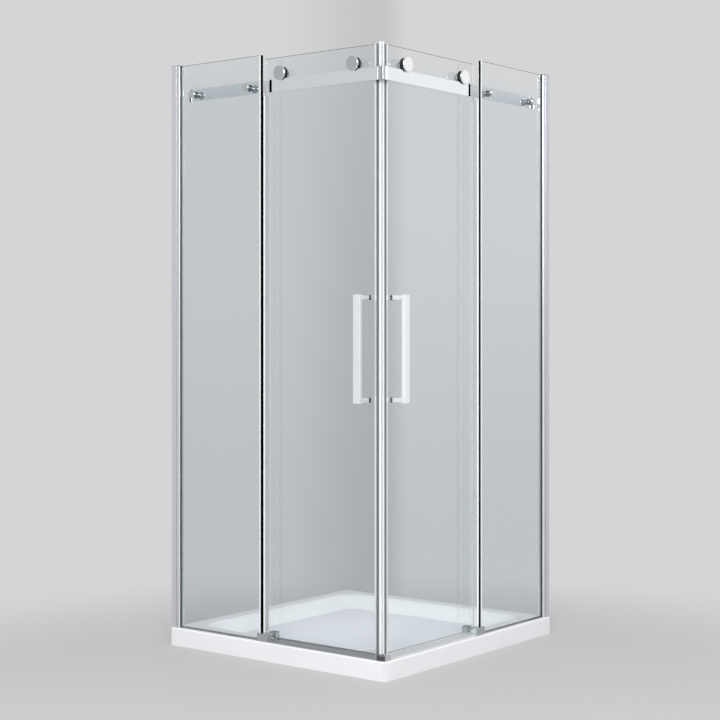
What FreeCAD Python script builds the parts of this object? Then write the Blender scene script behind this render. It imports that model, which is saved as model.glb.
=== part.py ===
import FreeCAD, Part
import math
import os

os.makedirs("parts", exist_ok=True)

V = FreeCAD.Vector

# All sizes are millimetres. On each entry side x runs from the near corner along the face,
# y runs inward from the tray's outer face, and z runs up from the floor.

# tray
traySide = 900.0
trayHeight = 57.0
trayNearRadius = 18.0
trayWallRadius = 8.0
trayTopRound = 4.0
rimFront = 80.0
rimWall = 52.0
slopeWidth = 80.0
slopeSteps = 8
slopeBlend = 0.55
basinDepth = 35.0
basinCornerRadius = 75.0
floorCornerRadius = 40.0
skirtThickness = 12.0
floorThickness = 12.0
ribThickness = 8.0
ribCount = 5

# waste and its cover
wasteOffset = 225.0
wasteRadius = 45.0
wasteBossRadius = 76.0
wasteLedgeRadius = 58.0
wasteLedgeDepth = 4.0
dishWidth = 60.0
dishRise = 1.5
coverFit = 2.0
coverThickness = 3.0
coverRound = 1.8
coverFootHeight = 1.2
coverFootRadius = 2.5
coverFootCount = 6

# levels, the upper ones measured down from the top of the wall profiles
profileTop = 1893.5
capThickness = 1.5
fixedGlassDrop = 0.5
fixedGlassLift = 3.0
doorGlassDrop = 4.5
doorGlassLift = 5.0
railDrop = 76.5

# glass and the gaps between its planes
glassThickness = 8.0
glassBevel = 0.7
fixedFace = 17.0
standoffGap = 16.0
railThickness = 10.0
doorGap = 11.0
fixedPaneWidth = 366.5
doorFrontEdge = 80.0
doorOverlap = 24.0
doorWallGap = 9.0

# wall channel
channelDepth = 20.0
channelWidth = 30.0
channelWall = 1.6
channelHoleRadius = 2.75
channelHoleCount = 4
channelHoleLow = 180.0
channelHoleDrop = 153.5

# adjusting profile, its gasket, cap and side screws
profileReach = 34.0
profileWallGap = 11.0
profileFit = 0.2
profileWall = 1.4
slotDepth = 14.0
lipLength = 8.0
gasketThickness = 2.1
gasketFit = 0.1
gasketNose = 1.5
gasketBead = 0.9
capOver = 0.4
capRound = 0.9
capPegDepth = 8.0
capPegFit = 0.5
sideScrewRadius = 1.75
sideScrewHeadRadius = 3.6
sideScrewHeadHeight = 2.0
sideScrewHeadRound = 1.4
sideScrewLength = 9.0
sideScrewCount = 3
sideScrewLow = 185.0
sideScrewDrop = 128.5

# screw drives
crossWidth = 0.8
crossLength = 3.6
crossDepth = 1.0
grubSocketRadius = 1.3
grubSocketDepth = 1.8
boltSocketRadius = 2.0
boltSocketDepth = 2.5
threadFit = 0.05

# seals of the fixed glass
bottomSealWidth = 10.0
bottomSealLip = 3.0
bottomSealTip = 0.6
overlapClip = 1.1
overlapClipTip = 0.6
overlapClipLength = 6.0
overlapFin = 1.3
overlapFinTip = 0.9
overlapFinGap = 1.0
sealGap = 0.2

# rail and its corner
railHeight = 40.0
railWallGap = 46.0
railBevel = 0.6
railEndRound = 3.0
cornerLeg = 19.5
cornerBevel = 3.0
tenonLength = 15.0
tenonThickness = 5.0
tenonHeight = 22.0
tenonFit = 0.1
tenonEndGap = 0.5
grubRadius = 2.5
grubRecess = 0.4
grubFromEnd = 8.0
grubSpread = 6.0

# standoffs between the fixed glass and the rail
standoffNearInset = 66.0
standoffFarInset = 82.0
standoffHoleRadius = 7.0
standoffCapRadius = 13.0
standoffCapThickness = 3.0
standoffCapBevel = 1.0
standoffGasket = 1.0
standoffStudRadius = 4.0
standoffStudDepth = 6.0
standoffStudGap = 0.3
sleeveGap = 0.2
barrelRadius = 8.0
barrelNeckRadius = 6.2
barrelNeckLength = 2.0
barrelFlangeRadius = 11.0
barrelFlangeThickness = 2.0
railBoltRadius = 3.0
railBoltHeadRadius = 5.5
railBoltDepth = 6.0
railBoltGap = 0.5

# rollers
rollerFrontInset = 76.0
rollerRearInset = 84.0
treadRadius = 17.5
flangeRadius = 21.0
flangeThickness = 1.8
flangeRound = 0.6
railFit = 0.15
grooveFit = 0.2
wheelBoreFront = 8.5
bearingRadius = 11.0
bearingWidth = 7.0
bearingSeat = 3.5
bearingGrooveWidth = 2.4
bearingGrooveDepth = 0.6
journalRadius = 4.0
journalFit = 0.05
collarGap = 0.3
frontCollarRadius = 6.0
rearCollarRadius = 7.5
rollerStemRadius = 5.0
rollerStemBevel = 1.0
rollerHoleRadius = 7.0
rollerCapRadius = 23.5
rollerCapThickness = 5.0
rollerCapBore = 3.0
rollerCapGap = 1.5
rollerCapRound = 1.2
rollerCapBackBevel = 0.5
rollerGasket = 1.0
rollerGasketRadius = 11.0
nutFlangeRadius = 12.5
nutFlangeThickness = 2.0
nutRadius = 9.0
nutHeight = 9.0
nutFlat = 8.0
nutBevel = 1.0
nutFlangeBevel = 0.5
stemEnd = 2.0

# stops on the rail
stopGap = 0.8
stopLength = 12.0
stopHeight = 8.0
stopWall = 1.5
stopLeg = 8.0
stopBevel = 2.0

# front edge of the door
edgeProfileWall = 1.6
edgeProfileBack = 2.0
edgeProfileWeb = 1.0
edgeProfileLength = 11.0
magnetLead = 4.0
magnetGap = 0.4
magnetDrop = 2.0
magnetWall = 1.5
neckThickness = 5.0

# handle
handleInset = 38.0
handleLevels = (821.0, 1129.0)
handleBarWidth = 25.0
handleBarDepth = 12.5
handleBarFace = 9.0
handleBarOver = 1.0
handleArmWidth = 18.0
handleArmHeight = 16.0
handleGasket = 1.5
handleGasketOver = 0.5
handleStudRadius = 4.0
handleHoleRadius = 6.0
handleCapDepth = 15.0
handleCapWall = 2.5
handleRound = 1.5

# bottom guide
guideBlockOver = 10.0
guideBlockLength = 45.0
guideBlockFace = 9.0
guideBlockHeight = 25.0
guideBlockRound = 2.0
guideBlockTopRound = 1.0
guideFit = 0.2
guideArmInset = 8.0
guideArmHeight = 4.0
guideRibWidth = 10.0
guideRibHeight = 14.0
guideCheekThickness = 4.2
guideCheekHeight = 24.0
guideCheekRound = 3.0
guideLiner = 2.0
guideLinerDrop = 3.0
guideLinerBevel = 0.6
guideRunGap = 0.3
guideScrewRadius = 1.75
guideScrewHeadRadius = 3.5
guideScrewHeadHeight = 2.2
guideScrewDepth = 8.0
guideScrewTipGap = 0.5
guideScrewInset = 5.0

# threshold
thresholdFace = 11.0
thresholdDoorGap = 7.0
thresholdRise = 6.0
thresholdLip = 7.5
thresholdLipWidth = 3.0
thresholdSkin = 1.5
thresholdWall = 3.0
thresholdWeb = 2.0
thresholdRound = 3.0
thresholdEndGap = 0.2
jointFace = 10.0
jointSide = 32.0
jointHeight = 14.0
jointWall = 4.0
jointRound = 10.0
jointTopRound = 3.5

# how far a cutting shape reaches past the face that it opens
past = 1.0

# values that follow from the ones above
half = traySide / 2
corner = V(half, -half, 0)
fixedMid = fixedFace + glassThickness / 2
fixedBack = fixedFace + glassThickness
railFace = fixedBack + standoffGap
railBack = railFace + railThickness
doorFace = railBack + doorGap
doorMid = doorFace + glassThickness / 2
doorBack = doorFace + glassThickness
fixedGlassTop = profileTop - fixedGlassDrop
doorGlassTop = profileTop - doorGlassDrop
fixedBottom = trayHeight + fixedGlassLift
doorBottom = trayHeight + doorGlassLift
profileFront = traySide - profileReach
profileBack = traySide - profileWallGap
profileWebStart = profileFront + slotDepth
profileHalf = channelWidth / 2 - channelWall - profileFit
slotHalf = glassThickness / 2 + gasketThickness + gasketFit
glassWallEdge = profileWebStart - gasketNose
fixedEdge = glassWallEdge - fixedPaneWidth
doorRearEdge = fixedEdge + doorOverlap
doorTravel = traySide - doorWallGap - doorRearEdge
railTop = profileTop - railDrop
railBottom = railTop - railHeight
railMid = railTop - railHeight / 2
railStart = railFace + cornerLeg
railEnd = traySide - railWallGap
standoffPlaces = (fixedEdge + standoffNearInset, traySide - standoffFarInset)
rollerPlaces = (doorFrontEdge + rollerFrontInset, doorRearEdge - rollerRearInset)
axleLevel = railTop + treadRadius + railFit
wheelTread = railThickness / 2 + grooveFit
wheelHalf = wheelTread + flangeThickness
wheelMid = railFace + railThickness / 2
wheelFront = wheelMid - wheelHalf
wheelRear = wheelMid + wheelHalf
bearingFront = wheelFront + bearingSeat
bearingRear = bearingFront + bearingWidth
rollerCapBack = wheelFront - rollerCapGap
rollerCapFace = rollerCapBack - rollerCapThickness
nutFront = doorBack + rollerGasket
nutBack = nutFront + nutFlangeThickness + nutHeight
stopTop = railTop + stopHeight
stopReach = math.sqrt(flangeRadius ** 2 - (axleLevel - stopTop) ** 2)
stopStart = rollerPlaces[1] + doorTravel + stopReach + stopGap
magnetFace = doorFace - magnetLead
magnetBack = doorBack
edgeProfileStart = doorFrontEdge - edgeProfileBack
handlePlace = doorFrontEdge + handleInset
handleBottom = handleLevels[0] - handleArmHeight / 2 - handleBarOver
handleTop = handleLevels[1] + handleArmHeight / 2 + handleBarOver
guideBlockEnd = fixedEdge + guideBlockOver
guideBlockStart = guideBlockEnd - guideBlockLength
guideBlockBack = fixedBack + fixedFace - guideBlockFace
guideArmStart = guideBlockStart + guideArmInset
guideArmEnd = guideBlockEnd - guideArmInset
guideArmTop = trayHeight + guideArmHeight
guideCheekTop = trayHeight + guideCheekHeight
linerOut = doorFace - guideRunGap
linerIn = doorBack + guideRunGap
cheekOut = linerOut - guideLiner - guideCheekThickness
cheekIn = linerIn + guideLiner + guideCheekThickness
thresholdBack = doorFace - thresholdDoorGap
thresholdEnd = guideBlockStart - thresholdEndGap
floorLevel = trayHeight - basinDepth
wasteX = half - wasteOffset
wasteY = -half + wasteOffset
wasteLedge = floorLevel - dishRise - wasteLedgeDepth


def box(x0, y0, z0, x1, y1, z1):
    return Part.makeBox(x1 - x0, y1 - y0, z1 - z0, V(x0, y0, z0))


def rod(x, z, y0, y1, radius):
    return Part.makeCylinder(radius, y1 - y0, V(x, y0, z), V(0, 1, 0))


def prism(points, z0, z1):
    corners = [V(x, y, z0) for x, y in points]
    return Part.Face(Part.makePolygon(corners + corners[:1])).extrude(V(0, 0, z1 - z0))


def bar(points, x0, x1):
    corners = [V(x0, y, z) for y, z in points]
    return Part.Face(Part.makePolygon(corners + corners[:1])).extrude(V(x1 - x0, 0, 0))


def turned(section, x, z):
    # section is a list of (radius, y) pairs turned about the line along y through (x, z)
    corners = [V(x + radius, y, z) for radius, y in section]
    face = Part.Face(Part.makePolygon(corners + corners[:1]))
    return face.revolve(V(x, 0, z), V(0, 1, 0), 360)


def hexSocket(x, z, y0, y1, radius):
    turns = [math.radians(60 * index) for index in range(6)]
    corners = [V(x + radius * math.cos(turn), y0, z + radius * math.sin(turn)) for turn in turns]
    return Part.Face(Part.makePolygon(corners + corners[:1])).extrude(V(0, y1 - y0, 0))


def roundEdges(shape, radius, wanted):
    edges = [edge for edge in shape.Edges if wanted(edge.BoundBox)]
    return shape.makeFillet(radius, edges)


def bevelEdges(shape, size, wanted):
    edges = [edge for edge in shape.Edges if wanted(edge.BoundBox)]
    return shape.makeChamfer(size, edges)


def upright(b):
    return b.XLength < 0.01 and b.YLength < 0.01


def level(b):
    return b.ZLength < 0.01


def spread(first, last, count):
    step = (last - first) / (count - 1)
    return [first + step * index for index in range(count)]


def placeRight(shape):
    moved = shape.copy()
    moved.rotate(V(0, 0, 0), V(0, 0, 1), 90)
    moved.translate(corner)
    return moved


def placeLeft(shape):
    return placeRight(shape).mirror(corner, V(1, 1, 0))


def save(name, solids):
    shape = solids[0] if len(solids) == 1 else Part.makeCompound(solids)
    shape.exportStep("parts/" + name + ".step")


def saveSides(name, solids):
    # one node for each entry side
    save(name + "_right", [placeRight(solid) for solid in solids])
    save(name + "_left", [placeLeft(solid) for solid in solids])


def saveBoth(name, solids):
    # one node that holds the pieces of both entry sides
    save(name, [place(solid) for place in (placeRight, placeLeft) for solid in solids])


def basinOutline(inset, radius, z):
    # rounded rectangle inside the rim, in row coordinates
    x0 = -half + rimWall + inset
    x1 = half - rimFront - inset
    y0 = -half + rimFront + inset
    y1 = half - rimWall - inset
    k = radius * (1 - math.sqrt(0.5))
    edges = [
        Part.makeLine(V(x0 + radius, y0, z), V(x1 - radius, y0, z)),
        Part.Arc(V(x1 - radius, y0, z), V(x1 - k, y0 + k, z), V(x1, y0 + radius, z)).toShape(),
        Part.makeLine(V(x1, y0 + radius, z), V(x1, y1 - radius, z)),
        Part.Arc(V(x1, y1 - radius, z), V(x1 - k, y1 - k, z), V(x1 - radius, y1, z)).toShape(),
        Part.makeLine(V(x1 - radius, y1, z), V(x0 + radius, y1, z)),
        Part.Arc(V(x0 + radius, y1, z), V(x0 + k, y1 - k, z), V(x0, y1 - radius, z)).toShape(),
        Part.makeLine(V(x0, y1 - radius, z), V(x0, y0 + radius, z)),
        Part.Arc(V(x0, y0 + radius, z), V(x0 + k, y0 + k, z), V(x0 + radius, y0, z)).toShape(),
    ]
    return Part.Wire(edges)


def basin(drop, above):
    # the hollow over the sloped sides and the floor, lowered by drop
    wires = [basinOutline(0, basinCornerRadius, trayHeight + above)]
    for step in range(slopeSteps + 1):
        t = step / slopeSteps
        fall = basinDepth * ((1 - slopeBlend) * t + slopeBlend * t * t * (3 - 2 * t))
        radius = basinCornerRadius + (floorCornerRadius - basinCornerRadius) * t
        wires.append(basinOutline(slopeWidth * t, radius, trayHeight - drop - fall))
    return Part.makeLoft(wires, True, True)


def trayUnderside():
    # the pockets between the ribs, left open towards the bathroom floor
    inner = half - skirtThickness
    under = box(-inner, -inner, 0, inner, inner, trayHeight - floorThickness)
    under = under.cut(basin(floorThickness, 0))
    pitch = 2 * inner / (ribCount + 1)
    for index in range(ribCount):
        middle = -inner + pitch * (index + 1)
        low = middle - ribThickness / 2
        high = middle + ribThickness / 2
        under = under.cut(box(low, -inner, 0, high, inner, trayHeight))
        under = under.cut(box(-inner, low, 0, inner, high, trayHeight))
    return under.cut(Part.makeCylinder(wasteBossRadius, trayHeight, V(wasteX, wasteY, 0)))


def makeTray():
    body = box(-half, -half, 0, half, half, trayHeight)
    body = roundEdges(body, trayNearRadius, lambda b: upright(b) and b.XMin > 0 and b.YMax < 0)
    atCorner = lambda b: upright(b) and min(abs(b.XMin), abs(b.YMin)) > half - past
    body = roundEdges(body, trayWallRadius, atCorner)
    body = roundEdges(body, trayTopRound, lambda b: level(b) and b.ZMin > trayHeight - 0.01)
    body = body.cut(basin(0, past)).cut(trayUnderside())
    dish = Part.makeCone(wasteLedgeRadius, wasteLedgeRadius + dishWidth, dishRise)
    dish.translate(V(wasteX, wasteY, floorLevel - dishRise))
    body = body.cut(dish)
    body = body.cut(Part.makeCylinder(wasteLedgeRadius, basinDepth, V(wasteX, wasteY, wasteLedge)))
    body = body.cut(Part.makeCylinder(wasteRadius, wasteLedge, V(wasteX, wasteY, 0)))
    for place in (placeRight, placeLeft):
        for x in guideScrewPlaces():
            mouth = V(x, guideScrewY(), trayHeight)
            hole = Part.makeCylinder(guideScrewRadius, guideScrewDepth, mouth, V(0, 0, -1))
            body = body.cut(place(hole))
    return body


def makeWasteCover():
    radius = wasteLedgeRadius - coverFit
    cover = Part.makeCylinder(radius, coverThickness)
    cover = roundEdges(cover, coverRound, lambda b: level(b) and b.ZMin > coverThickness - 0.01)
    footMiddle = (wasteRadius + radius) / 2
    for index in range(coverFootCount):
        turn = 2 * math.pi * index / coverFootCount
        place = V(footMiddle * math.cos(turn), footMiddle * math.sin(turn), -coverFootHeight)
        cover = cover.fuse(Part.makeCylinder(coverFootRadius, coverFootHeight, place))
    cover.translate(V(wasteX, wasteY, wasteLedge + coverFootHeight))
    return cover


def makeChannel():
    start = traySide - channelDepth
    side = channelWidth / 2
    web = traySide - channelWall
    inner = side - channelWall
    points = [(traySide, -side), (traySide, side), (start, side), (start, inner)]
    points += [(web, inner), (web, -inner), (start, -inner), (start, -side)]
    channel = prism([(x, fixedMid + y) for x, y in points], trayHeight, profileTop)
    for z in spread(channelHoleLow, profileTop - channelHoleDrop, channelHoleCount):
        hole = Part.makeCylinder(channelHoleRadius, channelWall, V(web, fixedMid, z), V(1, 0, 0))
        channel = channel.cut(hole)
    return cutSideScrews(channel)


def sideScrewX():
    return (profileBack + profileWebStart + profileWall) / 2


def sideScrewLevels():
    return spread(sideScrewLow, profileTop - sideScrewDrop, sideScrewCount)


def cutSideScrews(shape):
    # only the legs on the shower side are drilled
    for z in sideScrewLevels():
        shape = shape.cut(rod(sideScrewX(), z, fixedMid, fixedMid + channelWidth, sideScrewRadius))
    return shape


def makeSideScrews():
    screws = []
    seat = fixedMid + channelWidth / 2
    crown = seat + sideScrewHeadHeight
    x = sideScrewX()
    for z in sideScrewLevels():
        head = rod(x, z, seat, crown, sideScrewHeadRadius)
        head = roundEdges(head, sideScrewHeadRound, lambda b: b.YLength < 0.01 and b.YMin > seat + 0.01)
        screw = head.fuse(rod(x, z, seat - sideScrewLength, seat, sideScrewRadius))
        low = crown - crossDepth
        wide = crossWidth / 2
        long = crossLength / 2
        flat = box(x - long, low, z - wide, x + long, crown + past, z + wide)
        tall = box(x - wide, low, z - long, x + wide, crown + past, z + long)
        screws.append(screw.cut(flat).cut(tall))
    return screws


def makeAdjustingProfile():
    side = profileHalf
    inner = side - profileWall
    web = profileWebStart + profileWall
    front = profileFront + profileWall
    lip = slotHalf + profileWall
    back = profileFront + lipLength
    points = [(profileFront, slotHalf), (profileFront, side), (profileBack, side), (profileBack, inner)]
    points += [(web, inner), (web, -inner), (profileBack, -inner), (profileBack, -side)]
    points += [(profileFront, -side), (profileFront, -slotHalf), (back, -slotHalf), (back, -lip)]
    points += [(front, -lip), (front, -inner), (profileWebStart, -inner), (profileWebStart, inner)]
    points += [(front, inner), (front, lip), (back, lip), (back, slotHalf)]
    profile = prism([(x, fixedMid + y) for x, y in points], trayHeight, profileTop)
    return cutSideScrews(profile)


def makeProfileCap():
    side = channelWidth / 2 + capOver
    top = profileTop + capThickness
    cap = box(profileFront - capOver, fixedMid - side, profileTop, traySide, fixedMid + side, top)
    cap = roundEdges(cap, capRound, lambda b: level(b) and b.ZMin > top - 0.01 and b.XMin < traySide - 0.01)
    pegSide = profileHalf - profileWall - capPegFit
    pegStart = profileWebStart + profileWall + capPegFit
    low = profileTop - capPegDepth
    peg = box(pegStart, fixedMid - pegSide, low, profileBack, fixedMid + pegSide, profileTop)
    return cap.fuse(peg)


def makeGlassGasket():
    inner = glassThickness / 2
    outer = slotHalf - gasketFit
    bead = outer + gasketBead
    nose = profileFront - gasketNose
    points = [(nose, inner), (nose, bead), (profileFront, bead), (profileFront, outer)]
    points += [(profileWebStart, outer), (profileWebStart, -outer), (profileFront, -outer)]
    points += [(profileFront, -bead), (nose, -bead), (nose, -inner)]
    points += [(glassWallEdge, -inner), (glassWallEdge, inner)]
    return prism([(x, fixedMid + y) for x, y in points], fixedBottom, fixedGlassTop)


def glassPlate(x0, x1, face, z0, z1):
    plate = box(x0, face, z0, x1, face + glassThickness, z1)
    return bevelEdges(plate, glassBevel, lambda b: b.YLength < 0.01)


def makeFixedGlass():
    glass = glassPlate(fixedEdge, glassWallEdge, fixedFace, fixedBottom, fixedGlassTop)
    for x in standoffPlaces:
        glass = glass.cut(rod(x, railMid, fixedFace, fixedBack, standoffHoleRadius))
    return glass


def makeBottomSeal():
    side = bottomSealWidth / 2
    inner = glassThickness / 2
    top = fixedBottom + bottomSealLip
    tip = inner + bottomSealTip
    points = [(-side, trayHeight), (side, trayHeight), (tip, top), (inner, top), (inner, fixedBottom)]
    points += [(-inner, fixedBottom), (-inner, top), (-tip, top)]
    end = profileFront - gasketNose - sealGap
    return bar([(fixedMid + y, z) for y, z in points], guideBlockEnd + sealGap, end)


def makeOverlapSeal():
    low = trayHeight + guideBlockHeight + sealGap
    out = fixedFace - overlapClip
    back = fixedBack + overlapClip
    edge = fixedEdge - overlapClip
    reach = fixedEdge + overlapClipLength
    points = [(edge, out), (reach, fixedFace - overlapClipTip), (reach, fixedFace), (fixedEdge, fixedFace)]
    points += [(fixedEdge, fixedBack), (reach, fixedBack), (reach, fixedBack + overlapClipTip)]
    points += [(edge + overlapFin, back), (edge, back)]
    clip = prism(points, low, fixedGlassTop)
    tip = doorFace - overlapFinGap
    root = fixedBack + overlapClip / 2
    points = [(edge, root), (edge + overlapFin, root), (edge + overlapFinTip, tip), (edge, tip)]
    fin = prism(points, low, railBottom - doorWallGap)
    return clip.fuse(fin).removeSplitter()


def railBoltSolid(x, fit):
    radius = railBoltRadius + fit
    start = railFace - railBoltDepth
    taper = railBack - (railBoltHeadRadius - railBoltRadius)
    points = [(0, start), (radius, start), (radius, taper), (railBoltHeadRadius, railBack), (0, railBack)]
    return turned(points, x, railMid)


def makeRail():
    rail = box(railStart, railFace, railBottom, railEnd, railBack, railTop)
    rail = bevelEdges(rail, railBevel, lambda b: b.XLength > railHeight)
    rail = roundEdges(rail, railEndRound, lambda b: b.XMin > railEnd - 0.01 and b.YLength > railThickness / 2)
    y0 = wheelMid - tenonThickness / 2 - tenonFit
    y1 = wheelMid + tenonThickness / 2 + tenonFit
    z0 = railMid - tenonHeight / 2 - tenonFit
    z1 = railMid + tenonHeight / 2 + tenonFit
    rail = rail.cut(box(railStart, y0, z0, railStart + tenonLength + tenonEndGap, y1, z1))
    for z in grubLevels():
        rail = rail.cut(rod(railStart + grubFromEnd, z, wheelMid, railBack, grubRadius))
    for x in standoffPlaces:
        rail = rail.cut(railBoltSolid(x, threadFit))
    return rail


def grubLevels():
    return (railMid - grubSpread, railMid + grubSpread)


def makeRailCorner():
    a = railFace
    b = railBack
    c = railStart
    block = prism([(a, a), (c, a), (c, b), (b, b), (b, c), (a, c)], railBottom, railTop)
    block = bevelEdges(block, cornerBevel, lambda e: upright(e) and e.XMin < a + 0.01 and e.YMin < a + 0.01)
    y0 = wheelMid - tenonThickness / 2
    z0 = railMid - tenonHeight / 2
    tenon = box(c, y0, z0, c + tenonLength, y0 + tenonThickness, z0 + tenonHeight)
    other = tenon.mirror(V(0, 0, 0), V(1, -1, 0))
    return block.fuse(tenon).fuse(other)


def makeGrubs():
    start = wheelMid + tenonThickness / 2
    end = railBack - grubRecess
    x = railStart + grubFromEnd
    grubs = []
    for z in grubLevels():
        grub = rod(x, z, start, end, grubRadius - threadFit)
        grubs.append(grub.cut(hexSocket(x, z, end - grubSocketDepth, end, grubSocketRadius)))
    return grubs


def makeStandoffCap(x):
    back = fixedFace - standoffGasket
    face = back - standoffCapThickness
    tip = fixedBack + standoffGasket + standoffStudDepth
    rim = standoffCapRadius
    stud = standoffStudRadius
    points = [(0, face), (rim - standoffCapBevel, face), (rim, face + standoffCapBevel)]
    points += [(rim, back), (stud, back), (stud, tip), (0, tip)]
    return turned(points, x, railMid)


def makeStandoffGaskets(x):
    bore = standoffStudRadius + threadFit
    rim = standoffCapRadius - standoffCapBevel
    hole = standoffHoleRadius
    sleeve = fixedBack - sleeveGap
    points = [(bore, fixedFace - standoffGasket), (rim, fixedFace - standoffGasket), (rim, fixedFace)]
    points += [(hole, fixedFace), (hole, sleeve), (bore, sleeve)]
    front = turned(points, x, railMid)
    wide = barrelRadius + standoffGasket
    seat = fixedBack + standoffGasket
    rear = turned([(bore, fixedBack), (wide, fixedBack), (wide, seat), (bore, seat)], x, railMid)
    return [front, rear]


def makeStandoffBarrel(x):
    start = fixedBack + standoffGasket
    neckEnd = start + barrelNeckLength
    flange = railFace - barrelFlangeThickness
    stud = standoffStudRadius + threadFit
    studEnd = start + standoffStudDepth + standoffStudGap
    bolt = railBoltRadius + threadFit
    boltEnd = railFace - railBoltDepth - railBoltGap
    points = [(stud, start), (barrelNeckRadius, start), (barrelNeckRadius, neckEnd), (barrelRadius, neckEnd)]
    points += [(barrelRadius, flange), (barrelFlangeRadius, flange), (barrelFlangeRadius, railFace)]
    points += [(bolt, railFace), (bolt, boltEnd), (0, boltEnd), (0, studEnd), (stud, studEnd)]
    return turned(points, x, railMid)


def makeRailBolt(x):
    socket = hexSocket(x, railMid, railBack - boltSocketDepth, railBack, boltSocketRadius)
    return railBoltSolid(x, 0).cut(socket)


def makeRailStop():
    y0 = railFace - stopWall
    y1 = railBack + stopWall
    low = railTop - stopLeg
    shoulder = stopTop - stopBevel
    points = [(y0, low), (railFace, low), (railFace, railTop), (railBack, railTop), (railBack, low)]
    points += [(y1, low), (y1, shoulder), (y1 - stopBevel, stopTop), (y0 + stopBevel, stopTop), (y0, shoulder)]
    return bar(points, stopStart, stopStart + stopLength)


def guideScrewPlaces():
    return (guideArmStart + guideScrewInset, guideArmEnd - guideScrewInset)


def guideScrewY():
    return (guideBlockBack + cheekOut) / 2


def guideGrubX():
    return (fixedEdge + guideBlockEnd) / 2


def guideGrubZ():
    return trayHeight + guideBlockHeight / 2


def guideCheek(y0):
    cheek = box(guideArmStart, y0, guideArmTop, guideArmEnd, y0 + guideCheekThickness, guideCheekTop)
    topEnds = lambda b: b.YLength > 0.01 and b.XLength < 0.01 and b.ZMin > guideCheekTop - 0.01
    return roundEdges(cheek, guideCheekRound, topEnds)


def makeGuideBlock():
    top = trayHeight + guideBlockHeight
    block = box(guideBlockStart, guideBlockFace, trayHeight, guideBlockEnd, guideBlockBack, top)
    block = roundEdges(block, guideBlockRound, upright)
    block = roundEdges(block, guideBlockTopRound, lambda b: b.ZMin > top - 0.01)
    slotFace = fixedFace - guideFit
    slotBack = fixedBack + guideFit
    slotStart = fixedEdge - guideFit
    block = block.cut(box(slotStart, slotFace, fixedBottom, guideBlockEnd + past, slotBack, top + past))
    arm = box(guideArmStart, guideBlockBack, trayHeight, guideArmEnd, cheekIn, guideArmTop)
    middle = (guideArmStart + guideArmEnd) / 2
    side = guideRibWidth / 2
    ribTop = trayHeight + guideRibHeight
    rib = box(middle - side, guideBlockBack, guideArmTop, middle + side, cheekOut, ribTop)
    guide = block.fuse(arm).fuse(rib)
    guide = guide.fuse(guideCheek(cheekOut)).fuse(guideCheek(cheekIn - guideCheekThickness)).removeSplitter()
    for x in guideScrewPlaces():
        guide = guide.cut(guideScrewSolid(x, threadFit))
    return guide.cut(rod(guideGrubX(), guideGrubZ(), fixedBack, guideBlockBack, grubRadius))


def guideScrewSolid(x, fit):
    tip = trayHeight - guideScrewDepth + guideScrewTipGap
    head = guideArmTop - guideScrewHeadHeight
    radius = guideScrewRadius + fit
    corners = [V(x, 0, tip), V(x + radius, 0, tip), V(x + radius, 0, head)]
    corners += [V(x + guideScrewHeadRadius + fit, 0, guideArmTop), V(x, 0, guideArmTop)]
    face = Part.Face(Part.makePolygon(corners + corners[:1]))
    screw = face.revolve(V(x, 0, 0), V(0, 0, 1), 360)
    screw.translate(V(0, guideScrewY(), 0))
    return screw


def makeGuideScrews():
    screws = []
    y = guideScrewY()
    low = guideArmTop - crossDepth
    top = guideArmTop + past
    wide = crossWidth / 2
    long = crossLength / 2
    for x in guideScrewPlaces():
        flat = box(x - long, y - wide, low, x + long, y + wide, top)
        tall = box(x - wide, y - long, low, x + wide, y + long, top)
        screws.append(guideScrewSolid(x, -threadFit).cut(flat).cut(tall))
    x = guideGrubX()
    z = guideGrubZ()
    end = guideBlockBack - grubRecess
    grub = rod(x, z, fixedBack, end, grubRadius - threadFit)
    screws.append(grub.cut(hexSocket(x, z, end - grubSocketDepth, end, grubSocketRadius)))
    return screws


def makeGuideLiners():
    liners = []
    for face in (linerOut - guideLiner, linerIn):
        top = guideCheekTop - guideLinerDrop
        liner = box(guideArmStart, face, guideArmTop, guideArmEnd, face + guideLiner, top)
        liners.append(bevelEdges(liner, guideLinerBevel, upright))
    return liners


def makeThreshold():
    z = trayHeight
    top = z + thresholdRise
    lip = z + thresholdLip
    roof = top - thresholdSkin
    face = thresholdFace
    back = thresholdBack
    lipStart = back - thresholdLipWidth
    innerStart = face + thresholdWall
    webStart = (face + back - thresholdWeb) / 2
    webEnd = webStart + thresholdWeb
    points = [(face, z), (face, top), (lipStart, top), (lipStart, lip), (back, lip), (back, z)]
    points += [(lipStart, z), (lipStart, roof), (webEnd, roof), (webEnd, z), (webStart, z), (webStart, roof)]
    points += [(innerStart, roof), (innerStart, z)]
    strip = bar(points, 0, thresholdEnd)
    strip = roundEdges(strip, thresholdRound, lambda b: b.YMax < face + 0.01 and b.ZMin > top - 0.01)
    strip = strip.cut(prism([(0, 0), (0, traySide), (traySide, traySide)], z, lip + past))
    return strip.cut(box(0, 0, z, jointFace + jointSide, jointFace + jointSide, lip + past))


def makeThresholdJoint():
    a = jointFace
    b = jointFace + jointSide
    top = trayHeight + jointHeight
    block = box(a, a, trayHeight, b, b, top)
    block = roundEdges(block, jointRound, lambda e: upright(e) and e.XMin < a + 0.01 and e.YMin < a + 0.01)
    block = roundEdges(block, jointTopRound, lambda e: e.ZMin > top - 0.01)
    inner = a + jointWall
    end = b - jointWall
    hollow = box(inner, inner, trayHeight, end, end, top - jointWall)
    wanted = lambda e: upright(e) and e.XMin < inner + 0.01 and e.YMin < inner + 0.01
    return block.cut(roundEdges(hollow, jointRound - jointWall, wanted))


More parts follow.
